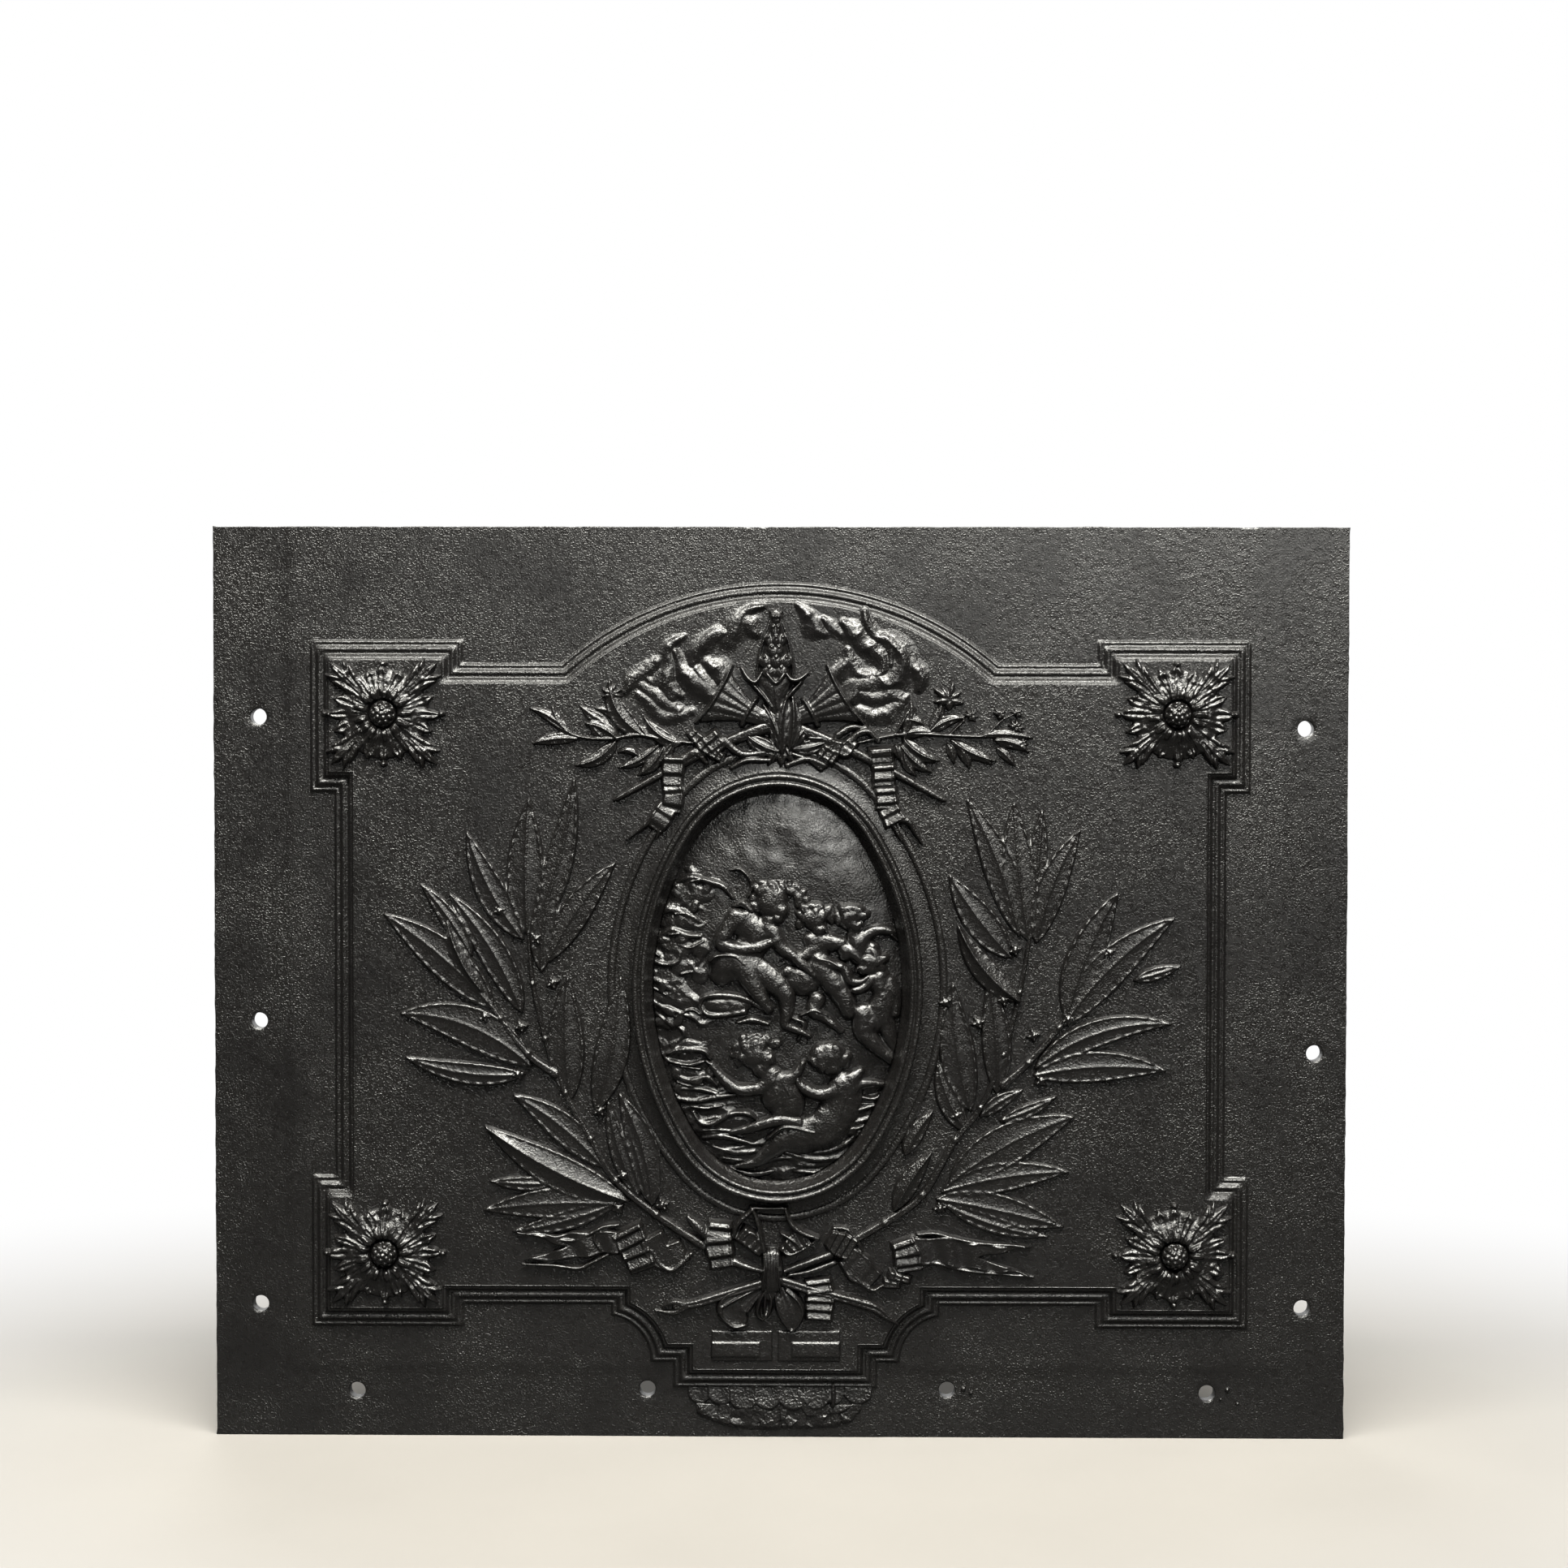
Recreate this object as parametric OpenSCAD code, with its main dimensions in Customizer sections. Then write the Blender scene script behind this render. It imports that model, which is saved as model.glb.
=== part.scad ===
// Cast iron fireback: a flat plate with ten screw holes, a raised panel with a moulded edge and
// square ears, four rosettes, an oval medallion, laurel branches, a crest and a ribbon bow.
// X runs along the width, the relief faces -Y, Z is up, and the origin is the middle of the foot.

/* [Plate] */
// Width of the cast plate
plate_w = 900; // [880:1:1000]
// Height of the cast plate
plate_h = 725; // [700:1:760]
// Thickness of the plate outside the panel
plate_t = 13; // [8:0.5:25]
// Step from the middle board of the plate down to its border
board_step = 0.5; // [0.2:0.1:1.5]
// Radius of the screw holes
hole_r = 6.5; // [4:0.1:7]

/* [Panel] */
// Height of the panel above the plate
panel_rise = 9.5; // [7:0.5:14]
// Width of the moulding round the panel
moulding_w = 17.4; // [14:0.1:20]
// Half the width of the panel between its long sides
panel_half_w = 336.5; // [325:0.5:345]
// Height of the panel's lower edge above the foot
panel_low = 123; // [118:0.5:130]
// Height of the panel's upper edge above the foot, beside the arch
panel_high = 600; // [590:0.5:606]
// Radius of the arch over the crest
arch_r = 247.6; // [240:0.1:260]
// Height of the arch's crown above the foot
arch_crown = 664.6; // [655:0.1:680]

/* [Medallion] */
// Half the width of the medallion's ring
oval_half_w = 114; // [100:0.5:118]
// Half the height of the medallion's ring
oval_half_h = 169; // [150:0.5:172]
// Radius of the ring's upper and lower arcs
oval_end_r = 91; // [80:0.5:96]
// Height of the medallion's middle above the foot
oval_z = 360; // [350:0.5:364]

/* [Relief] */
// Greatest height of the ornament above the panel
relief_h = 16; // [14:0.5:22]
// Height of a laurel leaf above the panel
leaf_h = 5.5; // [3:0.5:9]
// Height of the ribbons above the panel
ribbon_h = 7; // [4:0.5:11]
// Half the width of a rosette's upright and level leaves
rosette_reach = 43; // [36:0.5:44]

/* [Hidden] */

iron = "#33312f";
iron_lit = "#45423f";
fine = 64;
depth = plate_t + panel_rise + relief_h;
back_y = depth / 2;
flange_y = back_y - plate_t;
panel_y = flange_y - panel_rise;

// The border of the plate, left and right of its middle board and below it
board_left = -390;
board_right = 398;
board_low = 53;
// Where the middle board runs on down to the foot, under the plinth and what hung from it
pad_left = -88;
pad_right = 82;

// Screw holes: across from the middle, height above the foot
holes = [
    [-414, 574], [-414, 332], [-414, 105.5],
    [416, 565.5], [424.5, 308], [416, 104.5],
    [-337, 36], [341, 36], [-105, 38], [134, 38]
];

// The square ears at the panel's corners
ear_in = 268;
ear_out = 355.5;
ear_size = ear_out - ear_in;
high_ear = 618.5;
low_ear = 105;

// The pedestal under the panel: a neck, a hollow quarter round each side, and a plinth
pedestal_x = -3;
neck_half = 114;
scotia_x = 136.4;
scotia_z = 60.5;
scotia_r = 54;
shelf_z = 77;
plinth_half = 64.5;
plinth_low = 56.5;

// The moulding's section: how far out from the panel's edge, and how high above the plate
fillet = 2.6;
quirk = 0.6;
inner_step = panel_rise - 1.2;
mid_step = 3.4;
outer_step = 1.8;
cove_w = moulding_w - 2 * fillet;
cove_steps = 5;
moulding_section = concat(
    [[0, 0], [0, panel_rise], [quirk, panel_rise], [quirk, inner_step], [fillet, inner_step]],
    [for (i = [1:cove_steps]) let (t = i / cove_steps)
        [fillet + (cove_w - fillet) * t, mid_step + (inner_step - 2 - mid_step) * (1 - t)^2]],
    [[cove_w + fillet, mid_step], [cove_w + fillet, outer_step]],
    [[moulding_w, outer_step], [moulding_w, 0]]
);

arch_steps = 20;
scotia_steps = 6;

// Where a circle of radius r reaches the distance gone sideways from its centre
function leg(r, gone) = sqrt(r * r - gone * gone);

// One half of the panel's edge, drawn d outside its true line, from the arch down to the plinth.
// side is 1 for the right half and -1 for the left.
function half_edge(d, side) = concat(
    [
        [ear_in - d, panel_high + d], [ear_in - d, high_ear + d],
        [ear_out + d, high_ear + d], [ear_out + d, high_ear - ear_size - d],
        [panel_half_w + d, high_ear - ear_size - d], [panel_half_w + d, low_ear + ear_size + d],
        [ear_out + d, low_ear + ear_size + d], [ear_out + d, low_ear - d],
        [ear_in - d, low_ear - d], [ear_in - d, panel_low - d],
        [pedestal_x * side + neck_half + d, panel_low - d]
    ],
    scotia_edge(d, side),
    [
        [pedestal_x * side + plinth_half + d, shelf_z - d],
        [pedestal_x * side + plinth_half + d, plinth_low - d]
    ]
);

function scotia_edge(d, side) =
    let (r = scotia_r - d)
    let (from = acos(max(-1, (neck_half + d - scotia_x) / r)))
    let (to = 180 - asin((shelf_z - d - scotia_z) / r))
    [for (i = [0:scotia_steps]) let (a = from + (to - from) * i / scotia_steps)
        [pedestal_x * side + scotia_x + r * cos(a), scotia_z + r * sin(a)]];

// The arch from its left foot to its right foot
function arch_edge(d) =
    let (r = arch_r + d)
    let (centre_z = arch_crown - arch_r)
    let (foot = acos(leg(r, panel_high + d - centre_z) / r))
    [for (i = [0:arch_steps]) let (a = 180 - foot - (180 - 2 * foot) * i / arch_steps)
        [r * cos(a), centre_z + r * sin(a)]];

function mirrored(points) = [for (i = [len(points) - 1:-1:0]) [-points[i].x, points[i].y]];

// The whole edge, clockwise as seen from the front
function edge(d) = concat(arch_edge(d), half_edge(d, 1), mirrored(half_edge(d, -1)));

// ---- placing: x across, y up the plate, z out of it

module on_plate() {
    translate([0, flange_y, 0]) rotate([90, 0, 0]) children();
}

module on_panel() {
    translate([0, panel_y, 0]) rotate([90, 0, 0]) children();
}

// The relief was set out on one view of the front, where what stands nearer the eye looks
// larger, so its layout is drawn in towards the foot of that view.
view_foot = [0, 580];
view_shrink = 0.994;

module relief() {
    on_panel() translate([view_foot.x, view_foot.y, 0])
        scale(view_shrink) translate([-view_foot.x, -view_foot.y, 0]) children();
}

// ---- strips: leaves, ribbons and stems

leaf_section = [[-1, 0], [-1, 0.7], [-0.5, 0.5], [0, 1], [0.5, 0.5], [1, 0.7], [1, 0]];
small_leaf_section = [[-1, 0], [-1, 0.5], [0, 1], [1, 0.5], [1, 0]];
round_section = [[-1, 0], [-0.8, 0.65], [0, 1], [0.8, 0.65], [1, 0]];

// The direction across a line of stations at station i, to its left
function across(stations, i) =
    let (a = stations[max(i - 1, 0)])
    let (b = stations[min(i + 1, len(stations) - 1)])
    let (along = [b.x - a.x, b.y - a.y])
    [-along.y, along.x] / norm(along);

// A closed strip: each station is [x, y, half width, height], the section is in shares of these
module strip(stations, section) {
    n = len(stations);
    m = len(section);
    points = [for (i = [0:n - 1]) let (s = stations[i], side = across(stations, i))
        for (c = section)
            [s.x - side.x * s[2] * c.x, s.y - side.y * s[2] * c.x, s[3] * c.y]];
    skin = [for (i = [0:n - 2], j = [0:m - 1]) let (k = (j + 1) % m)
        each [
            [i * m + j, (i + 1) * m + k, i * m + k],
            [i * m + j, (i + 1) * m + j, (i + 1) * m + k]
        ]];
    start = [for (j = [0:m - 1]) j];
    stop = [for (j = [m - 1:-1:0]) (n - 1) * m + j];
    polyhedron(points, concat(skin, [start], [stop]));
}

// A point on a line from a to b that bows to its left by a share of its length
function bowed(a, b, bow, t) =
    let (middle = (a + b) / 2 + 2 * bow * [a.y - b.y, b.x - a.x])
    (1 - t)^2 * a + 2 * t * (1 - t) * middle + t^2 * b;

// A laurel leaf from its base a to its tip b
leaf_steps = 5;
module leaf(a, b, width, bow = 0, rise = leaf_h, section = leaf_section) {
    strip([for (i = [0:leaf_steps])
        let (t = i / leaf_steps, p = bowed(a, b, bow, t))
        let (fullness = max(0.06, sin(180 * t^0.85)))
        [p.x, p.y, width / 2 * fullness, rise * (0.45 + 0.55 * sqrt(fullness))]], section);
}

// The stalk that joins a leaf to its stem: a flat peg along the leaf's first part
stalk_w = 2.4;
module stalk(a, b) {
    hull() for (p = [a, a + (b - a) * 0.12])
        translate([p.x - stalk_w / 2, p.y - stalk_w / 2, 0]) cube([stalk_w, stalk_w, stalk_w]);
}

// A round stem through a list of points, its half width going from w0 to w1
module stem(points, w0, w1, rise) {
    n = len(points) - 1;
    strip([for (i = [0:n]) let (w = w0 + (w1 - w0) * i / n)
        [points[i].x, points[i].y, w, rise * (0.6 + 0.4 * w / max(w0, w1))]], round_section);
}

// A folded ribbon: each point is [x, y, half width], and every other fold stands higher
bar = 0.6;
module ribbon(points, rise) {
    for (i = [0:len(points) - 2])
        hull()
            for (k = [i, i + 1]) {
                side = across(points, k);
                translate([points[k].x, points[k].y, 0]) rotate(atan2(side.y, side.x))
                    translate([-points[k][2], -bar / 2, 0])
                        cube([2 * points[k][2], bar, rise * (k % 2 == 0 ? 1 : 0.55)]);
            }
}

// A limb with round ends, flattened as low relief is, its middle line lift above the panel
relief_flat = 0.75;
limb_fn = 8;
module limb(a, b, ra, rb, lift = 0) {
    hull() {
        translate([a.x, a.y, lift]) scale([1, 1, relief_flat]) sphere(ra, $fn = limb_fn);
        translate([b.x, b.y, lift]) scale([1, 1, relief_flat]) sphere(rb, $fn = limb_fn);
    }
}

// Limbs through a list of [x, y, r] joints
module limbs(joints) {
    for (i = [0:len(joints) - 2])
        limb(joints[i], joints[i + 1], joints[i][2], joints[i + 1][2]);
}

// Only what stands out of the panel
module proud() {
    intersection() {
        children();
        translate([-plate_w / 2, 0, 0]) cube([plate_w, plate_h, relief_h]);
    }
}

// The right side as drawn (1), or the left side (-1)
module on_side(side) {
    if (side > 0) children();
    else mirror([1, 0, 0]) children();
}

// ---- plate, panel and moulding

module base_plate() {
    color(iron) difference() {
        union() {
            translate([-plate_w / 2, flange_y + board_step, 0])
                cube([plate_w, plate_t - board_step, plate_h]);
            translate([board_left, flange_y, board_low])
                cube([board_right - board_left, plate_t, plate_h - board_low]);
            translate([pad_left, flange_y, 0])
                cube([pad_right - pad_left, plate_t, board_low + 1]);
        }
        for (h = holes)
            translate([h.x, back_y + 1, h.y]) rotate([90, 0, 0])
                cylinder(r = hole_r, h = plate_t + 2, $fn = fine);
    }
}

// The panel sits on the middle board and is sunk inside the medallion's ring
module raised_panel() {
    color(iron_lit) on_plate() difference() {
        linear_extrude(panel_rise) polygon(edge(0));
        translate([oval_x, oval_z, panel_rise - field_sink])
            linear_extrude(field_sink + 1) oval_disc(-ring_w);
    }
}

module panel_moulding() {
    rings = [for (s = moulding_section) [for (p = edge(s.x)) [p.x, p.y, s.y]]];
    m = len(rings);
    n = len(rings[0]);
    faces = [for (j = [0:m - 1], i = [0:n - 1])
        let (k = (j + 1) % m, l = (i + 1) % n)
        each [[j * n + i, k * n + i, k * n + l], [j * n + i, k * n + l, j * n + l]]];
    color(iron) on_plate() polyhedron([for (r = rings) each r], faces);
}

// Two framed tablets side by side on the plinth
tablet_w = 44;
tablet_h = 26;
tablet_rim = 5;
tablet_z = 63;
tablet_gap = 12;
tablet_rise = 1.6;
tablet_floor = 0.6;
module tablet(side) {
    color(iron_lit) on_panel()
        translate([pedestal_x + side * (tablet_gap + tablet_w) / 2 - tablet_w / 2, tablet_z, 0])
            difference() {
                cube([tablet_w, tablet_h, tablet_rise]);
                translate([tablet_rim, tablet_rim, tablet_floor])
                    cube([tablet_w - 2 * tablet_rim, tablet_h - 2 * tablet_rim, tablet_rise]);
            }
}

// ---- medallion: every line of it is the same oval of four arcs, drawn larger or smaller

oval_x = -1.5;
oval_side_r = ((oval_half_h - oval_end_r)^2 + oval_half_w^2 - oval_end_r^2)
    / (2 * (oval_half_w - oval_end_r));
oval_side_x = oval_side_r - oval_half_w;
oval_end_y = oval_half_h - oval_end_r;
oval_turn = atan2(oval_end_y, oval_side_x);
oval_steps = 24;

module on_oval() {
    on_panel() translate([oval_x, oval_z, 0]) children();
}

// A section swept round the oval: x is the distance outside the ring's edge, y is the height
module round_oval(section) {
    on_oval() for (side = [0, 180]) rotate(side) {
        translate([-oval_side_x, 0, 0]) rotate(-oval_turn)
            rotate_extrude(angle = 2 * oval_turn, $fn = fine * 4)
                translate([oval_side_r, 0]) polygon(section);
        translate([0, oval_end_y, 0]) rotate(oval_turn)
            rotate_extrude(angle = 180 - 2 * oval_turn, $fn = fine * 2)
                translate([oval_end_r, 0]) polygon(section);
    }
}

// Half of the oval's line, d outside the ring's edge: the right side and the upper end
function half_oval(d) = concat(
    [for (i = [0:oval_steps - 1]) let (a = oval_turn * (2 * i / oval_steps - 1))
        [(oval_side_r + d) * cos(a) - oval_side_x, (oval_side_r + d) * sin(a)]],
    [for (i = [0:oval_steps - 1]) let (a = oval_turn + (180 - 2 * oval_turn) * i / oval_steps)
        [(oval_end_r + d) * cos(a), oval_end_y + (oval_end_r + d) * sin(a)]]
);

module oval_disc(d) {
    half = half_oval(d);
    polygon(concat(half, -half));
}

ring_w = 11;
ring_h = 12;
hollow_w = 16;
bead_r = 2.2;
cove_in = 8;
field_h = 1.2;
field_sink = 5;
bead_up = 3;

// A thin raised line outside the hollow, set a little higher than the ring, in two tiers
bead_w = 2 * bead_r;
module bead_tier(inset, h) {
    linear_extrude(h) difference() {
        oval_disc(hollow_w + bead_w - inset);
        oval_disc(hollow_w + inset);
    }
}

module medallion_bead() {
    color(iron_lit) translate([0, 0, bead_up]) on_oval() {
        bead_tier(0, bead_r / 2);
        bead_tier(bead_r / 3, bead_r);
    }
}

// The hollow between the bead and the ring
module medallion_hollow() {
    color(iron) round_oval(concat(
        [[0, 0], [hollow_w, 0]],
        [for (i = [0:6]) let (t = i / 6) [hollow_w * (1 - t), 1 + (ring_h - 5) * t^2.2]]
    ));
}

// The ring: two beads with a groove between them, and inside them a slope down to the field
module medallion_ring() {
    bead = ring_w / 4;
    color(iron_lit) round_oval(concat(
        [[-ring_w - cove_in, -field_sink], [-ring_w, -field_sink], [-ring_w, 0], [0, 0]],
        [for (i = [0:5]) let (a = i * 30)
            [-bead + bead * cos(a), ring_h - bead + bead * sin(a)]],
        [for (i = [1:6]) let (a = i * 30)
            [-3 * bead + bead * cos(a), ring_h - bead + bead * sin(a)]],
        [[-ring_w - cove_in / 3, ring_h / 3], [-ring_w - cove_in, field_h - field_sink]]
    ));
}

// The sunk field
module medallion_field() {
    color(iron) on_oval() translate([0, 0, -field_sink])
        linear_extrude(field_h) oval_disc(-ring_w - cove_in);
}

// What is modelled on the field, in fuller relief than the rest and kept inside the ring
field_relief = 1.5;
module on_field() {
    on_oval() translate([0, 0, field_h - field_sink]) intersection() {
        scale([1, 1, field_relief]) children();
        linear_extrude(ring_h + field_sink) oval_disc(-ring_w - cove_in);
    }
}

// A head with its mass of hair
module head(p, r) {
    limb(p + [0, -0.2 * r], p + [0, 0.1 * r], 0.8 * r, 0.9 * r);
    limb(p + [-0.2 * r, 0.3 * r], p + [0.3 * r, 0.3 * r], 0.8 * r, 0.75 * r, 1);
}

module putto_seated() {
    color(iron_lit) on_field() {
        head([-5, 69], 12);
        limbs([[-14, 48, 12], [-8, 34, 11], [-16, 20, 12]]);
        limbs([[-28, 52, 8], [-43, 35, 6.5], [-9, 35, 5]]);
        limbs([[0, 46, 8], [17, 30, 6.5], [29, 17, 5]]);
        limbs([[-32, 17, 10], [-15, -6, 8], [-8, -20, 5]]);
        limbs([[-13, 17, 10], [4, -1, 8], [7, -24, 5], [21, -36, 4]]);
    }
}

module putto_reclining() {
    color(iron_lit) on_field() {
        head([30, 57], 10);
        limbs([[25, 42, 8], [30, 24, 8], [48, 4, 10]]);
        limbs([[34, 12, 9], [59, -15, 7], [49, -35, 5]]);
        limbs([[40, 36, 5], [54, 28, 5]]);
        limbs([[14, 14, 6], [30, 6, 6]]);
    }
}

module putto_behind() {
    color(iron_lit) on_field() {
        head([57, 57], 11);
        limbs([[57, 42, 9], [56, 32, 8]]);
        limbs([[66, 47, 6], [82, 44, 5], [93, 41, 4]]);
        limbs([[48, 26, 6], [66, 10, 6]]);
        limbs([[50, 40, 6], [44, 32, 5]]);
        limbs([[62, 30, 7], [72, 34, 6]]);
    }
}

module putto_striding() {
    color(iron_lit) on_field() {
        head([72, 22], 10);
        limbs([[78, 8, 10], [80, -5, 11], [70, -24, 10]]);
        limbs([[69, -28, 10], [77, -46, 8], [93, -62, 5]]);
        limbs([[88, 2, 5], [90, -18, 5]]);
        limbs([[84, -24, 8], [88, -40, 6]]);
    }
}

module swimmer_left() {
    color(iron_lit) on_field() {
        head([-20, -50], 12);
        limbs([[-20, -66, 7], [-5, -74, 10], [5, -88, 12]]);
        limbs([[-51, -64, 4], [-33, -78, 5], [-12, -74, 7]]);
        limbs([[0, -72, 7], [12, -62, 5]]);
        limbs([[5, -88, 11], [17, -96, 7]]);
    }
}

module swimmer_right() {
    color(iron_lit) on_field() {
        head([41, -54], 13);
        limbs([[14, -65, 4], [31, -78, 5], [54, -72, 9]]);
        limbs([[56, -78, 12], [50, -98, 14], [34, -114, 14], [8, -121, 10], [-18, -140, 5]]);
        limbs([[58, -72, 7], [70, -60, 5]]);
    }
}

// Heaped clouds at the left of the field: across, up, radius
cloud_puffs = [
    [-66, 82, 9], [-52, 76, 8], [-78, 68, 9], [-62, 60, 8], [-84, 48, 8], [-68, 40, 8],
    [-88, 28, 8], [-72, 22, 8], [-92, 8, 7], [-78, 0, 8], [-84, -16, 7], [-70, -22, 7],
    [-76, -42, 7], [-62, -50, 6]
];
module medallion_clouds() {
    color(iron_lit) on_field() {
        for (c = cloud_puffs) limb([c.x - 4, c.y], [c.x + 5, c.y + 3], c[2] * 0.7, c[2] * 0.5);
        limbs([[-57, -14, 5], [-42, -17, 5], [-24, -16, 4]]);
        limbs([[-31, -27, 3], [-8, -28, 3]]);
    }
}

// Long low waves under the swimmers: points along each crest
wave_crests = [
    [[-66, -104], [-50, -98], [-33, -100], [-22, -104]],
    [[-38, -112], [-20, -112], [-4, -102]],
    [[-62, -120], [-40, -116], [-18, -120]],
    [[-48, -130], [-30, -128], [-6, -134]],
    [[62, -98], [78, -92]],
    [[58, -108], [76, -104]],
    [[8, -134], [28, -136], [54, -130]],
    [[-84, -76], [-62, -84], [-46, -88]],
    [[-80, -90], [-62, -92]]
];
module medallion_waves() {
    color(iron_lit) on_field()
        for (crest = wave_crests) limbs([for (p = crest) [p.x, p.y, 3.4]]);
}

// ---- rosettes: four lobed leaves upright and level, four pointed ones on the diagonals

rosette_x = 312.5;
rosette_high = 576.5;
rosette_low = 149;
boss_r = 12;
rosette_rings = 5;
rosette_turns = 40;
collar_h = 8;

// How far the rosette reaches at the angle a: round lobes with a pointed leaf in each corner
function rosette_edge(a) =
    let (lobe = abs(cos(2 * a)), corner = abs(sin(2 * a)))
    rosette_reach * (0.80 + 0.20 * lobe^0.5 + 0.28 * corner^8);

// Height over the panel at share s of the reach: folded leaves with a raised middle rib
function rosette_height(s, a) =
    let (fold = abs(cos(2 * a)), rib = 0.5 + 0.5 * cos(24 * a))
    2.5 + 6 * sin(180 * (0.15 + 0.8 * s)) * (0.55 + 0.45 * fold) + 0.8 * rib * (1 - s);

module rosette(x, z) {
    n = rosette_turns;
    m = rosette_rings;
    top = [for (j = [0:m], i = [0:n - 1])
        let (a = i * 360 / n, s = j / m, r = boss_r + (rosette_edge(a) - boss_r) * s)
        [r * cos(a), r * sin(a), rosette_height(s, a)]];
    foot = [for (j = [0, m], i = [0:n - 1])
        let (a = i * 360 / n, r = j == 0 ? boss_r : rosette_edge(a))
        [r * cos(a), r * sin(a), 0]];
    in_foot = (m + 1) * n;
    out_foot = (m + 2) * n;
    faces = [for (i = [0:n - 1]) let (l = (i + 1) % n) each concat(
        [for (j = [0:m - 1]) each [
            [j * n + i, j * n + l, (j + 1) * n + l],
            [j * n + i, (j + 1) * n + l, (j + 1) * n + i]
        ]],
        [
            [m * n + i, m * n + l, out_foot + l], [m * n + i, out_foot + l, out_foot + i],
            [out_foot + i, out_foot + l, in_foot + l], [out_foot + i, in_foot + l, in_foot + i],
            [in_foot + i, in_foot + l, l], [in_foot + i, l, i]
        ]
    )];
    color(iron_lit) on_panel() translate([x, z, 0]) polyhedron(concat(top, foot), faces);
}

// The round boss: a collar and a seed head whose top is the highest point of the relief
seed_r = 2;
seed_head_r = 9;
module rosette_boss(x, z) {
    dome = relief_h - seed_r / 2 - collar_h;
    ball_r = (seed_head_r^2 + dome^2) / (2 * dome);
    color(iron_lit) on_panel() translate([x, z, 0]) {
        cylinder(r = boss_r, h = collar_h, $fn = fine);
        intersection() {
            translate([0, 0, collar_h + dome - ball_r]) sphere(ball_r, $fn = fine);
            translate([0, 0, collar_h - 1]) cylinder(r = seed_head_r, h = dome + 2, $fn = fine);
        }
        translate([0, 0, relief_h - seed_r]) sphere(seed_r, $fn = fine / 2);
        for (a = [0:60:300]) rotate(a)
            translate([5, 0, relief_h - 1.4 * seed_r]) sphere(seed_r, $fn = fine / 2);
    }
}

// ---- laurel branches

laurel_stem_left_points = [
    [[-60, 153], [-98, 178], [-130, 205], [-150, 238], [-170, 275], [-186, 318], [-196, 362],
        [-200, 404]],
    [[-178, 290], [-200, 306], [-222, 334], [-240, 362]]
];
laurel_stem_right_points = [
    [[46, 150], [84, 172], [114, 194], [140, 238], [160, 264], [178, 306], [191, 356],
        [199, 402]],
    [[178, 282], [198, 300], [222, 328], [236, 350]]
];

module laurel_stem(runs) {
    color(iron) relief() for (run = runs) stem(run, 4, 1.8, 5);
}

// Leaves: base, tip, width, bow to the left of the way from base to tip
leaves_left = [
    [[-200, 402], [-199, 508], 28, 0.02], [[-204, 398], [-248, 482], 22, 0.05],
    [[-196, 400], [-163, 524], 20, -0.04], [[-189, 372], [-175, 456], 19, 0.05],
    [[-184, 380], [-131, 458], 22, 0.04], [[-205, 340], [-262, 433], 22, -0.05],
    [[-236, 356], [-264, 412], 12, 0.06], [[-228, 343], [-314, 417], 28, -0.04],
    [[-245, 385], [-285, 441], 13, -0.04], [[-198, 297], [-301, 338], 31, -0.10],
    [[-203, 290], [-297, 303], 16, 0.06], [[-140, 216], [-211, 273], 22, -0.05],
    [[-120, 189], [-234, 248], 31, 0.04], [[-126, 186], [-235, 181], 23, -0.03],
    [[-180, 203], [-230, 204], 10, 0.02], [[-146, 262], [-126, 367], 25, -0.04],
    [[-166, 270], [-168, 367], 27, 0.03], [[-112, 192], [-136, 268], 14, 0.04],
    [[-105, 190], [-121, 248], 12, -0.03], [[-101, 186], [-127, 274], 24, -0.06],
    [[-132, 186], [-212, 164], 14, 0.03]
];
leaves_right = [
    [[198, 398], [186, 506], 27, 0.02], [[190, 402], [149, 509], 24, -0.04],
    [[204, 396], [238, 485], 22, 0.05], [[203, 440], [208, 500], 12, 0],
    [[184, 384], [135, 449], 24, 0.03], [[191, 349], [142, 409], 17, 0.08],
    [[228, 336], [268, 435], 27, 0.04], [[226, 330], [313, 415], 28, 0.06],
    [[282, 366], [318, 377], 9, 0], [[204, 296], [311, 331], 20, 0.10],
    [[203, 290], [307, 294], 23, 0.05], [[152, 262], [138, 362], 26, 0.04],
    [[173, 276], [166, 367], 21, -0.03], [[148, 246], [126, 298], 16, 0.05],
    [[92, 182], [121, 228], 15, 0.04], [[100, 226], [122, 261], 12, 0.05],
    [[160, 257], [193, 278], 10, 0.05], [[176, 254], [220, 273], 9, -0.03],
    [[136, 204], [234, 257], 31, 0.05], [[130, 197], [230, 213], 22, 0.04],
    [[126, 191], [226, 169], 24, 0.02], [[134, 186], [214, 161], 12, -0.04]
];

module laurel_leaves(leaves, runs) {
    color(iron_lit) relief() difference() {
        union() {
            for (l = leaves) {
                leaf(l[0], l[1], l[2], l[3]);
                stalk(l[0], l[1]);
            }
        }
        translate([0, 0, -1]) scale([1, 1, 3]) for (run = runs) stem(run, 4, 1.8, 5);
    }
}

berries_left = [
    [-205, 328], [-180, 363], [-208, 290], [-234, 336], [-143, 261], [-128, 183], [-93, 186],
    [-193, 398], [-124, 209], [-222, 420]
];
berries_right = [
    [187, 390], [178, 350], [202, 322], [208, 286], [229, 335], [141, 258], [128, 184],
    [262, 388], [132, 348], [158, 332]
];
berry_r = 4.6;
module laurel_berries(places) {
    color(iron_lit) relief() proud()
        for (p = places) hull() {
            translate([p.x, p.y, 0]) sphere(berry_r, $fn = 6);
            translate([p.x + 1, p.y, 1]) sphere(berry_r * 0.7, $fn = 6);
        }
}

// ---- crest: a pine cone over two crossed torches, with flames, sprays and ribbons

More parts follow.
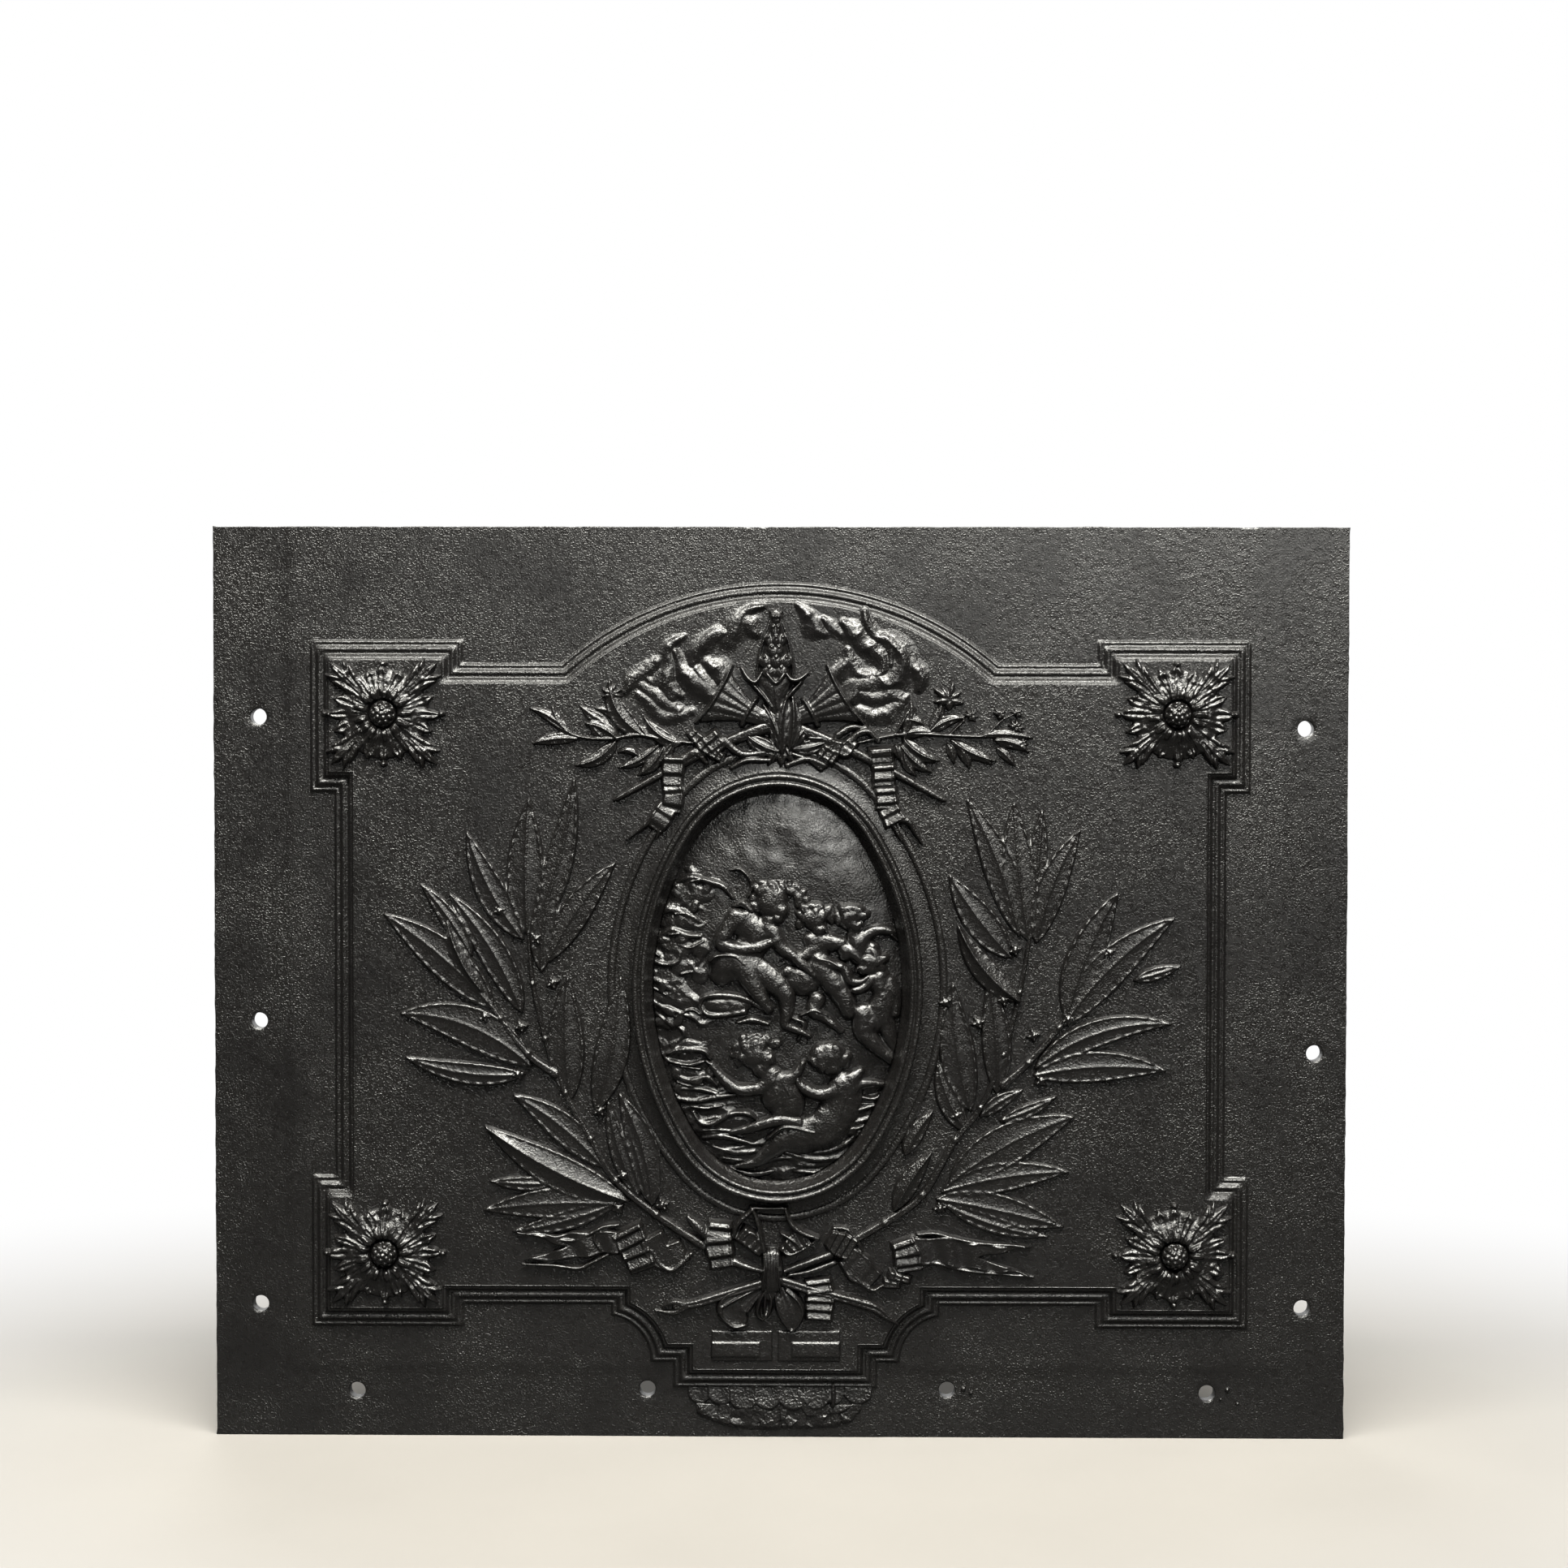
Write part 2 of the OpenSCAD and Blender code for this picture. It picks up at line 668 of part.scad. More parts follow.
cone_x = -3;
cone_low = 606;
cone_high = 656;
cone_half = 14;
cone_rows = 7;
cone_rise = 11;
module pine_cone() {
    step = (cone_high - cone_low) / cone_rows;
    color(iron_lit) relief() {
        strip([for (i = [0:cone_rows]) let (t = i / cone_rows)
            [cone_x, cone_low + (cone_high - cone_low) * t,
                cone_half * sqrt(max(0.05, 1 - t^2.2)), cone_rise * sqrt(max(0.1, 1 - t^3))]],
            round_section);
        for (i = [0:cone_rows - 2], j = [-1:1]) {
            x = cone_x + (j + (i % 2 - 0.5) / 2) * cone_half * (0.6 - 0.05 * i);
            lift = cone_rise * (1 - 0.06 * i) - 0.03 * (x - cone_x)^2 - 3;
            limb([x, cone_low + step * (i + 0.5)], [x, cone_low + step * (i + 1.1)], 3, 1.5, lift);
        }
    }
}

module cone_calyx() {
    color(iron_lit) relief() proud() {
        for (side = [-1, 1]) {
            limbs([[cone_x, 592, 8], [cone_x + side * 12, 600, 5], [cone_x + side * 18, 604, 3]]);
            limbs([[cone_x, 590, 8], [cone_x + side * 20, 598, 3], [cone_x + side * 25, 608, 2]]);
        }
        limbs([[cone_x, 584, 7], [cone_x, 600, 6]]);
    }
}

// A torch from its pointed foot to its flared mouth: [x, y, half width, height]
torch_line = [
    [-131, 509, 2.4, 5], [-95, 528, 3.6, 6], [-40, 556, 5, 7], [2, 576, 7, 7],
    [22, 586, 12, 9], [40, 594, 20, 11], [46, 597, 24, 8]
];
module torch(side) {
    color(iron_lit) relief() on_side(side) strip(torch_line, round_section);
}

// Flames blown sideways from a torch, ending in a curl
module flame(side) {
    turn = [for (i = [0:9]) let (a = 200 - i * 38, r = 22 - 1.9 * i)
        [74 + r * cos(a), 618 + r * sin(a), 7 - 0.45 * i]];
    color(iron_lit) relief() on_side(side) proud() {
        limbs(turn);
        limbs([[22, 650, 4], [34, 642, 6], [58, 640, 6], [72, 628, 7]]);
        limbs([[62, 604, 6], [96, 590, 7], [112, 604, 4]]);
        limbs([[60, 580, 8], [84, 584, 9], [108, 574, 5]]);
    }
}

// Pointed leaves in the middle of the crest
crest_leaf_list = [
    [[2, 545], [-12, 590], 13], [[4, 545], [14, 588], 14], [[0, 545], [-24, 570], 12],
    [[6, 545], [30, 566], 12]
];
module crest_leaves() {
    color(iron_lit) relief() {
        for (l = crest_leaf_list) leaf(l[0], l[1], l[2], 0, 8, small_leaf_section);
        proud() for (x = [-9:3:12]) limb([x, 545], [x * 0.8, 540], 3, 2.5);
    }
}

// Flowers and leaves beside the torches: base, tip, width
spray_list = [
    [[66, 556], [112, 562], 13], [[104, 560], [131, 598], 17], [[110, 560], [152, 588], 15],
    [[112, 558], [156, 572], 12], [[130, 558], [176, 572], 11], [[140, 559], [196, 558], 9],
    [[146, 556], [192, 580], 9], [[136, 556], [170, 541], 9], [[150, 554], [194, 549], 8],
    [[98, 556], [124, 541], 10], [[96, 552], [119, 533], 9], [[138, 552], [148, 534], 7],
    [[92, 550], [106, 530], 7]
];
module spray(side) {
    color(iron_lit) relief() on_side(side) {
        for (l = spray_list) {
            leaf(l[0], l[1], l[2], 0.03, 6, small_leaf_section);
            stalk(l[0], l[1]);
        }
    }
}

// Ribbon from the crest over the oval and down beside it, with a forked end
ribbon_top = [
    [-8, 541, 4], [-22, 542, 5], [-36, 552, 7], [-48, 548, 9], [-60, 556, 8], [-66, 546, 7],
    [-84, 544, 8], [-84, 530, 8], [-84, 519, 8], [-86, 506, 7], [-94, 494, 8], [-108, 488, 7],
    [-119, 479, 3]
];
module ribbon_top_side(side) {
    color(iron_lit) relief() on_side(-side) ribbon(ribbon_top, ribbon_h);
}

// ---- bow, lower ribbons and the crossed stem ends

module bow_knot() {
    color(iron_lit) relief() proud() {
        limbs([[-9, 124, 6], [-6, 132, 8], [-4, 142, 7], [-3, 147, 4]]);
        limbs([[-12, 122, 4], [-2, 122, 5], [3, 126, 4]]);
        limbs([[-10, 134, 4], [2, 134, 5]]);
        limbs([[-11, 128, 5], [1, 128, 5], [0, 140, 4]]);
    }
}

// Two loops of ribbon standing over the knot, each [x, y, half width] out and back
bow_left = [
    [-12, 142, 3], [-24, 152, 5], [-32, 164, 6], [-24, 176, 5], [-15, 172, 4], [-10, 158, 4],
    [-8, 148, 3]
];
bow_right = [
    [2, 142, 3], [16, 150, 5], [26, 160, 6], [17, 172, 5], [7, 172, 4], [2, 160, 4], [0, 150, 3]
];
bow_h = 9;
module bow_loops() {
    color(iron_lit) relief() {
        ribbon(bow_left, bow_h);
        ribbon(bow_right, bow_h);
    }
}

// Ends of ribbon hanging from the knot, cupped and rounded below
module bow_drops() {
    color(iron_lit) relief() proud() {
        limbs([[-14, 118, 5], [-24, 112, 8], [-33, 104, 11], [-30, 96, 8]]);
        limbs([[1, 118, 5], [5, 110, 8], [9, 102, 10], [10, 93, 6]]);
        limbs([[-9, 116, 4], [-12, 108, 5], [-11, 99, 6]]);
    }
}

ribbon_low_left = [
    [-12, 132, 4], [-30, 138, 5], [-42, 142, 9], [-50, 154, 11], [-62, 168, 8], [-74, 158, 9],
    [-84, 142, 9], [-100, 152, 13], [-112, 150, 15], [-126, 158, 14], [-140, 158, 12],
    [-154, 150, 12], [-170, 148, 12], [-196, 150, 10]
];
ribbon_low_right = [
    [6, 136, 4], [24, 142, 5], [40, 156, 9], [50, 148, 12], [62, 142, 13], [74, 130, 11],
    [86, 128, 9], [98, 140, 14], [108, 148, 13], [124, 150, 11], [142, 148, 10], [160, 144, 9],
    [190, 146, 8]
];
module ribbon_bottom(points) {
    color(iron_lit) relief() ribbon(points, ribbon_h);
}

// The crossed ends of the two laurel stems under the knot
stem_end_left_points = [[-14, 123], [-40, 115], [-66, 107], [-82, 104], [-99, 101]];
stem_end_right_points = [[6, 124], [30, 115], [54, 110], [76, 103], [92, 93]];
module stem_end(points) {
    color(iron_lit) relief() stem(points, 5.5, 2, 7);
}

// ---- what was broken away under the plinth, and drops of iron beside a hole

// Stumps of a row of upright flutes: across, half width, foot, height
stumps = [
    [-62, 8, 26, 4], [-46, 9, 22, 5], [-28, 10, 20, 6], [-8, 10, 19, 6.5], [12, 10, 18, 6],
    [30, 9, 19, 6], [47, 8, 20, 6.5], [64, 9, 24, 4]
];
stump_high = plinth_low - moulding_w - 1;
rubble = [[-58, 10, 7, 2], [-30, 12, 9, 3], [-6, 11, 8, 3], [18, 12, 9, 3.5], [40, 14, 8, 3]];
module broken_boss() {
    color(iron) on_plate() {
        for (s = stumps)
            hull() {
                translate([s.x - s[1], stump_high - 3, 0]) cube([2 * s[1], 3, s[3]]);
                translate([s.x - s[1] * 0.7, s[2], 0]) cube([1.4 * s[1], 4, s[3] * 0.4]);
            }
        for (r = rubble)
            hull() {
                translate([r.x - r[2], r.y, 0]) cube([2 * r[2], r[2], r[3] * 0.3]);
                translate([r.x - r[2] / 2, r.y + r[2] / 3, 0]) cube([r[2], r[2] / 2, r[3]]);
            }
    }
}

// Beads of iron: across, height above the foot, radius
pips = [[357, 39, 2], [365, 28, 1.4], [352, 31, 1.2]];
module casting_pips() {
    color(iron) translate([0, board_step, 0]) on_plate() for (p = pips)
        translate([p.x, p.y, 0]) intersection() {
            sphere(p[2], $fn = fine / 2);
            translate([-3, -3, 0]) cube([6, 6, 3]);
        }
}

// ---- the assembly

base_plate();
raised_panel();
panel_moulding();
tablet(-1);  // pedestal_tablet_left
tablet(1);  // pedestal_tablet_right
medallion_bead();
medallion_hollow();
medallion_ring();
medallion_field();
medallion_clouds();
medallion_waves();
putto_seated();
putto_reclining();
putto_behind();
putto_striding();
swimmer_left();
swimmer_right();
rosette(-rosette_x, rosette_high);  // rosette_top_left
rosette(rosette_x, rosette_high);  // rosette_top_right
rosette(-rosette_x, rosette_low);  // rosette_bottom_left
rosette(rosette_x, rosette_low);  // rosette_bottom_right
rosette_boss(-rosette_x, rosette_high);  // rosette_boss_top_left
rosette_boss(rosette_x, rosette_high);  // rosette_boss_top_right
rosette_boss(-rosette_x, rosette_low);  // rosette_boss_bottom_left
rosette_boss(rosette_x, rosette_low);  // rosette_boss_bottom_right
laurel_stem(laurel_stem_left_points);  // laurel_stem_left
laurel_stem(laurel_stem_right_points);  // laurel_stem_right
laurel_leaves(leaves_left, laurel_stem_left_points);  // laurel_leaves_left
laurel_leaves(leaves_right, laurel_stem_right_points);  // laurel_leaves_right
laurel_berries(berries_left);  // laurel_berries_left
laurel_berries(berries_right);  // laurel_berries_right
torch(1);  // torch_left
torch(-1);  // torch_right
flame(-1);  // flame_left
flame(1);  // flame_right
pine_cone();
cone_calyx();
crest_leaves();
spray(-1);  // spray_left
spray(1);  // spray_right
ribbon_top_side(-1);  // ribbon_top_left
ribbon_top_side(1);  // ribbon_top_right
bow_knot();
bow_loops();
bow_drops();
ribbon_bottom(ribbon_low_left);  // ribbon_bottom_left
ribbon_bottom(ribbon_low_right);  // ribbon_bottom_right
stem_end(stem_end_left_points);  // stem_end_left
stem_end(stem_end_right_points);  // stem_end_right
broken_boss();
casting_pips();
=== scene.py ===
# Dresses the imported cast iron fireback. The pieces follow the founder's pattern: the plate, the
# moulded panel, the oval medallion, and the carved ornament laid on them. Units in the lists are
# millimetres on the plate, x to the right and z up; meshes are made in metres.
import math
import bpy
import numpy as np
from mathutils import Matrix, Vector
from mathutils.geometry import delaunay_2d_cdt


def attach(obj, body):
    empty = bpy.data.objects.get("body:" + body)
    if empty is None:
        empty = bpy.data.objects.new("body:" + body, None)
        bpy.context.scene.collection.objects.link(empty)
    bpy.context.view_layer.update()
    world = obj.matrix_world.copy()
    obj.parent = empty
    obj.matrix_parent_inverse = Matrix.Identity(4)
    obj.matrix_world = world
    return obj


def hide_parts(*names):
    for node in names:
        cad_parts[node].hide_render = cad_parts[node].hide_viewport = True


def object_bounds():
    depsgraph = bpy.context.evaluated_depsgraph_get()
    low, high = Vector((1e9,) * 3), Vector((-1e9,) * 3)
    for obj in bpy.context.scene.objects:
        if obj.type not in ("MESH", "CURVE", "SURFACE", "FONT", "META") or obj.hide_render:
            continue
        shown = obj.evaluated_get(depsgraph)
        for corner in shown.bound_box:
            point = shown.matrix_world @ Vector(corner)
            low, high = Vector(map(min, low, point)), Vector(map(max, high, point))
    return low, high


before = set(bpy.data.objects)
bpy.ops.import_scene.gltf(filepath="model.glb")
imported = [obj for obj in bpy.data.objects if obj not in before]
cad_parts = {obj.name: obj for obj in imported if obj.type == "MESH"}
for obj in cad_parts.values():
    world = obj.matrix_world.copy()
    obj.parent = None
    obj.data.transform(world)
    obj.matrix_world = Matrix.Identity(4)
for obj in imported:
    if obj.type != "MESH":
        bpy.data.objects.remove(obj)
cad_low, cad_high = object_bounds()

# ---------------------------------------------------------------- studio
# A pale floor that fades into a white background. Two wide soft lamps overhead and high in front
# model the relief, a weak front window lights the plate's upper part and another one its back.
# The camera stands two metres in front of the plate, level with its upper part.

MM = 0.001
FILM, FOCAL_PIXELS, FRAME_PIXELS = 36.0, 3100, 1932
EYE = Vector((0.0224, -1.9862, 0.5764))
PITCH_DOWN, TURN_LEFT, ROLL = 0.02766, 0.00955, 0.00147
LAMPS = (  # name, place, aim, size, watts, colour, degrees within which a grid keeps the light
    ("skylight", (0.3, -1.5, 2.3), (0.0, 0.0, 0.6), (2.0, 0.6), 24, "#fffdf5", 90),
    ("overhead", (0.0, -0.9, 2.3), (0.0, 0.0, 0.5), (3.2, 0.5), 140, "#fffdf5", 130),
    ("rear_window", (-0.7, 2.7, 1.9), (0.0, 0.0, 0.4), (1.8, 0.8), 7, "#fbfaf4", 60),
    ("front_window", (0.8, -3.1, 1.6), (0.0, 0.0, 0.5), (2.4, 0.8), 5.6, "#fbfaf4", 40))
WHITE = {"Color": (1, 1, 1, 1), "Strength": 1.0}
FLOOR_HALF = 4
FADE_FROM, FADE_TO, FADE_SQUEEZE = 0.25, 1.1, (0.75, 1.0, 1.0)


def linear(hexa):
    """An sRGB hex colour as linear red, green, blue and alpha."""
    parts = [int(hexa[i:i + 2], 16) / 255 for i in (1, 3, 5)]
    return [c / 12.92 if c <= 0.04045 else ((c + 0.055) / 1.055) ** 2.4 for c in parts] + [1.0]


def feed(node, inputs):
    """Gives a node's inputs a value, an output, or the first output of another node."""
    for name, source in inputs.items():
        if isinstance(source, bpy.types.Node):
            source = source.outputs[0]
        if isinstance(source, bpy.types.NodeSocket):
            node.id_data.links.new(source, node.inputs[name])
        else:
            node.inputs[name].default_value = source
    return node


def add(tree, kind, inputs=None, **settings):
    """One shader node, with its inputs by name or number and its settings by name."""
    made = tree.nodes.new("ShaderNode" + kind)
    for name, value in settings.items():
        setattr(made, name, value)
    return feed(made, inputs or {})


def ramp(tree, source, *stops):
    """A colour ramp through (position, hex colour) stops."""
    made = add(tree, "ValToRGB", {"Fac": source})
    for element, (position, colour) in zip(made.color_ramp.elements, stops):
        element.position, element.color = position, linear(colour)
    return made


def material(name):
    """A new material, its node tree and its Principled shader."""
    made = bpy.data.materials.new(name)
    made.use_nodes = True
    return made, made.node_tree, made.node_tree.nodes["Principled BSDF"]


def shown(name, data):
    """A new object in the scene."""
    made = bpy.data.objects.new(name, data)
    bpy.context.collection.objects.link(made)
    return made


ahead = Vector((-math.sin(TURN_LEFT) * math.cos(PITCH_DOWN),
                math.cos(TURN_LEFT) * math.cos(PITCH_DOWN), -math.sin(PITCH_DOWN)))
level = Vector((math.cos(TURN_LEFT), math.sin(TURN_LEFT), 0))
right = math.cos(ROLL) * level + math.sin(ROLL) * level.cross(ahead)
upward = right.cross(ahead)
lens = bpy.data.cameras.new("camera")
lens.sensor_width = FILM
lens.lens = FILM * FOCAL_PIXELS / FRAME_PIXELS
lens.clip_end = 50
camera = shown("camera", lens)
camera.matrix_world = Matrix(
    [(right[i], upward[i], -ahead[i], EYE[i]) for i in range(3)] + [(0, 0, 0, 1)])
scene = bpy.context.scene
scene.camera = camera
scene.view_settings.view_transform = "Standard"

for name, spot, aim, size, watts, colour, spread in LAMPS:
    lamp = bpy.data.lights.new(name, "AREA")
    lamp.shape = "RECTANGLE"
    lamp.size, lamp.size_y = size
    lamp.energy = watts
    lamp.spread = math.radians(spread)
    lamp.color = linear(colour)[:3]
    lamp = shown(name, lamp)
    lamp.location = spot
    lamp.rotation_euler = (Vector(aim) - Vector(spot)).to_track_quat("-Z", "Y").to_euler()

# The camera sees a white background, and gloss sees it behind the plate and low down. All else
# is lit and mirrored by a dim grey room.
world = bpy.data.worlds.new("studio")
world.use_nodes = True
scene.world = world
tree = world.node_tree
tree.nodes.clear()
place = add(tree, "TexCoord")
axis = add(tree, "SeparateXYZ", {"Vector": place.outputs["Generated"]})
behind = add(tree, "MapRange", {"Value": axis.outputs["Y"], "From Min": 0.0, "From Max": 0.15})
rays = add(tree, "LightPath")
sharp = add(tree, "Math", {0: rays.outputs["Is Glossy Ray"],
                           1: rays.outputs["Is Transmission Ray"]}, operation="MAXIMUM")
below = add(tree, "MapRange", {"Value": axis.outputs["Z"], "From Min": 0.55, "From Max": 0.35})
backdrop = add(tree, "Math", {0: below, 1: behind}, operation="MULTIPLY")
mirrored = add(tree, "Math", {0: sharp, 1: backdrop}, operation="MULTIPLY")
seen = add(tree, "Math", {0: rays.outputs["Is Camera Ray"], 1: mirrored}, operation="MAXIMUM")
room = add(tree, "Background", {"Color": linear("#8f9296"), "Strength": 0.12})
white = add(tree, "Background", WHITE)
either = add(tree, "MixShader", {0: seen, 1: room, 2: white})
add(tree, "OutputWorld", {"Surface": either})

# A pale screed that fades to white away from the plate. The camera sees it so; the plate sees
# it dark, because its glossy paint would mirror a bright floor in every grain.
floor_mesh = bpy.data.meshes.new("floor")
floor_mesh.from_pydata([(x * FLOOR_HALF, y * FLOOR_HALF, 0)
                        for x, y in ((-1, -1), (1, -1), (1, 1), (-1, 1))], [], [(0, 1, 2, 3)])
floor = shown("floor", floor_mesh)
concrete, tree, skin = material("pale_screed")
place = add(tree, "TexCoord")
cloudy = add(tree, "TexNoise", {"Vector": place.outputs["Object"], "Scale": 4.0, "Detail": 6.0})
tint = ramp(tree, cloudy, (0.0, "#726f6b"), (1.0, "#7c7975"))
rays = add(tree, "LightPath")
shade = add(tree, "MapRange", {"Value": rays.outputs["Is Camera Ray"], "To Min": 0.1})
pale = add(tree, "VectorMath", {0: tint, 1: shade}, operation="MULTIPLY")
feed(skin, {"Base Color": pale, "Roughness": 0.8})
round_plate = add(tree, "VectorMath", {0: place.outputs["Object"]}, operation="MULTIPLY")
feed(round_plate, {1: FADE_SQUEEZE})
reach = add(tree, "VectorMath", {0: round_plate}, operation="LENGTH")
away = add(tree, "MapRange", {"Value": reach.outputs["Value"],
                              "To Max": rays.outputs["Is Camera Ray"],
                              "From Min": FADE_FROM, "From Max": FADE_TO},
           interpolation_type="SMOOTHSTEP")
white = add(tree, "Emission", WHITE)
either = add(tree, "MixShader", {0: away, 1: skin, 2: white})
feed(tree.nodes["Material Output"], {"Surface": either})
floor_mesh.materials.append(concrete)

# ---------------------------------------------------------------- base plate
# A flat plate of grey cast iron about half an inch thick, poured in an open sand bed: its edges
# waver a little, its rim is rounded, and ten holes for wall screws go through it. It is finished
# in semi-gloss stove black, and the sand's grain shows through as an orange-peel skin.

PLATE_W, PLATE_H, PLATE_T = 900.0, 725.0, 13.0
BACK = cad_high.y / MM
FLANGE = BACK - PLATE_T
HOLE_R = 6.5
HOLES = [(-414, 574), (-414, 332), (-414, 105.5), (416, 565.5), (424.5, 308), (416, 104.5),
         (-337, 36), (341, 36), (-105, 38), (134, 38)]
BOARD_STEP = 0.5
BOARD_LEFT, BOARD_RIGHT, BOARD_LOW = -390, 398, 53
PAD_LEFT, PAD_RIGHT = -88, 82
ORANGE_PEEL, PATCH, GRAIN_DEPTH = 0.0052, 0.09, 0.00023


def stove_black(name, grain, roughness, sandy, sparse):
    """Semi-gloss stove black paint on as-cast grey iron: nearly black and faintly warm, over the
    sand's grain, and thinner and shinier where it was rubbed. grain scales the grain's depth,
    sandy is the size of a grain in metres, and sparse how few grains stand out."""
    made, tree, skin = material(name)
    place = add(tree, "TexCoord")
    where = place.outputs["Object"]
    # The sand's grains are between 1 and 2 mm, the paint's orange peel is about 5 mm, and patches
    # of thicker paint about 90 mm.
    sand = add(tree, "TexNoise", {"Vector": where, "Scale": 1 / sandy, "Detail": 1.0})
    peel = add(tree, "TexNoise", {"Vector": where, "Scale": 1 / ORANGE_PEEL, "Detail": 1.5})
    patch = add(tree, "TexNoise", {"Vector": where, "Scale": 1 / PATCH, "Detail": 4.0,
                                   "Roughness": 0.6})
    colour = ramp(tree, patch, (0.3, "#0c0b0b"), (0.75, "#121110"))
    gloss = add(tree, "MapRange", {"Value": peel, "From Min": 0.3, "From Max": 0.7,
                                   "To Min": roughness - 0.03, "To Max": roughness + 0.05})
    worn = add(tree, "Attribute", attribute_name="raised")
    rubbed = add(tree, "MapRange", {"Value": worn.outputs["Fac"], "From Min": -1.0,
                                    "To Min": 0.10, "To Max": -0.06})
    rough = add(tree, "Math", {0: gloss, 1: rubbed}, operation="ADD")
    grains = add(tree, "MapRange", {"Value": sand, "From Min": sparse, "From Max": sparse + 0.24},
                 interpolation_type="SMOOTHSTEP")
    both = add(tree, "Math", {0: peel, 1: 1.5, 2: grains}, operation="MULTIPLY_ADD")
    bumps = add(tree, "Bump", {"Height": both, "Distance": GRAIN_DEPTH * grain})
    strong = add(tree, "MapRange", {"Value": patch, "From Min": 0.35, "From Max": 0.62,
                                    "To Min": 0.4})
    feed(bumps, {"Strength": strong})
    feed(skin, {"Base Color": colour, "Roughness": rough, "Normal": bumps, "IOR": 1.5})
    return made


IRON = stove_black("stove_black_plate", 1.15, 0.26, 0.0013, 0.49)
RELIEF_IRON = stove_black("stove_black_relief", 0.75, 0.24, 0.0014, 0.40)
BROKEN_IRON = stove_black("stove_black_fracture", 2.2, 0.30, 0.0020, 0.36)


def waves(x, z, lengths, seed):
    """A smooth wandering field between about -1 and 1, made of sines of these wavelengths."""
    dice = np.random.default_rng(seed)
    total = 0
    for length in lengths:
        for _ in range(3):
            a, b = dice.uniform(0, math.tau, 2)
            total = total + np.sin((x * math.cos(a) + z * math.sin(a)) * math.tau / length + b)
    return total / (2.2 * len(lengths) ** 0.5)


def lumps(x, z, size, seed):
    """Smooth random swellings about size millimetres across, between -1 and 1."""
    grid = np.random.default_rng(seed).uniform(-1, 1, (64, 64))
    u, v = (0.8 * x + 0.6 * z) / size, (0.8 * z - 0.6 * x) / size
    i, j = np.floor(u).astype(int), np.floor(v).astype(int)
    s, t = u - i, v - j
    s, t = s * s * (3 - 2 * s), t * t * (3 - 2 * t)
    i, j, k, m = i % 64, j % 64, (i + 1) % 64, (j + 1) % 64
    return (grid[i, j] * (1 - s) + grid[k, j] * s) * (1 - t) \
        + (grid[i, m] * (1 - s) + grid[k, m] * s) * t


def smooth_step(v, low, high):
    """0 below low, 1 above high, and a soft rise between."""
    t = np.clip((v - low) / (high - low), 0, 1)
    return t * t * (3 - 2 * t)


def piece(name, points, faces, iron):
    """A mesh in millimetres becomes a piece of the casting in place of the CAD node."""
    mesh = bpy.data.meshes.new(name)
    points = np.asarray(points, np.float32) * MM
    faces = np.asarray(faces, np.int32)
    corners = faces.shape[1]
    mesh.vertices.add(len(points))
    mesh.vertices.foreach_set("co", points.ravel())
    mesh.loops.add(faces.size)
    mesh.loops.foreach_set("vertex_index", faces.ravel())
    mesh.polygons.add(len(faces))
    mesh.polygons.foreach_set("loop_start", np.arange(0, faces.size, corners, dtype=np.int32))
    mesh.polygons.foreach_set("loop_total", np.full(len(faces), corners, np.int32))
    mesh.update(calc_edges=True)
    mesh.validate()
    mesh.shade_smooth()
    mesh.materials.append(iron)
    made = shown(name, mesh)
    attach(made, "root")
    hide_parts(name)
    return made


def inside(points, loop):
    """Which points lie inside a closed loop."""
    hit = np.zeros(len(points), bool)
    x, z = points[:, 0], points[:, 1]
    for (ax, az), (bx, bz) in zip(loop, np.roll(loop, -1, 0)):
        cross = (az > z) != (bz > z)
        if cross.any():
            hit ^= cross & (x < (bx - ax) * (z - az) / (bz - az + 1e-12) + ax)
    return hit


def slab(outline_rings, hole_rings, inner, back):
    """Points and triangles of a flat casting. Rings are lists of (x, z, y) closed loops: the first
    of each set lies on the wall, the rest lead onto the face. inner are loose face points."""
    flat, edges, start = [], [], 0
    for ring in outline_rings + [h for hs in hole_rings for h in hs]:
        n = len(ring)
        flat.append(ring)
        edges += [(start + i, start + (i + 1) % n) for i in range(n)]
        start += n
    flat = np.vstack(flat + [inner])
    spots, _, tris, source, _, _ = delaunay_2d_cdt(
        [Vector(p) for p in flat[:, :2]], edges, [], 0, 1e-5)
    spots = np.array([tuple(p) for p in spots])
    depth = flat[[s[0] if s else 0 for s in source], 2]
    tris = np.array(tris)
    middle = spots[tris].mean(1)
    keep = inside(middle, outline_rings[0][:, :2])
    for hs in hole_rings:
        keep &= ~inside(middle, hs[0][:, :2])
    tris = tris[keep]
    a, b, c = (spots[tris[:, i]] for i in range(3))
    turn = (b[:, 0] - a[:, 0]) * (c[:, 1] - a[:, 1]) - (b[:, 1] - a[:, 1]) * (c[:, 0] - a[:, 0])
    tris[turn < 0] = tris[turn < 0][:, ::-1]
    n = len(spots)
    front = np.c_[spots[:, 0], depth, spots[:, 1]]
    behind = np.c_[spots[:, 0], np.full(n, back), spots[:, 1]]
    # the open edges of the face are those that one triangle has
    pairs = np.vstack([tris[:, [0, 1]], tris[:, [1, 2]], tris[:, [2, 0]]])
    key = {(i, j) for i, j in pairs.tolist()}
    rim = np.array([(i, j) for i, j in key if (j, i) not in key])
    walls = np.vstack([np.c_[rim[:, 1], rim[:, 0], rim[:, 0] + n],
                       np.c_[rim[:, 1], rim[:, 0] + n, rim[:, 1] + n]])
    return np.vstack([front, behind]), np.vstack([tris, tris[:, ::-1] + n, walls])


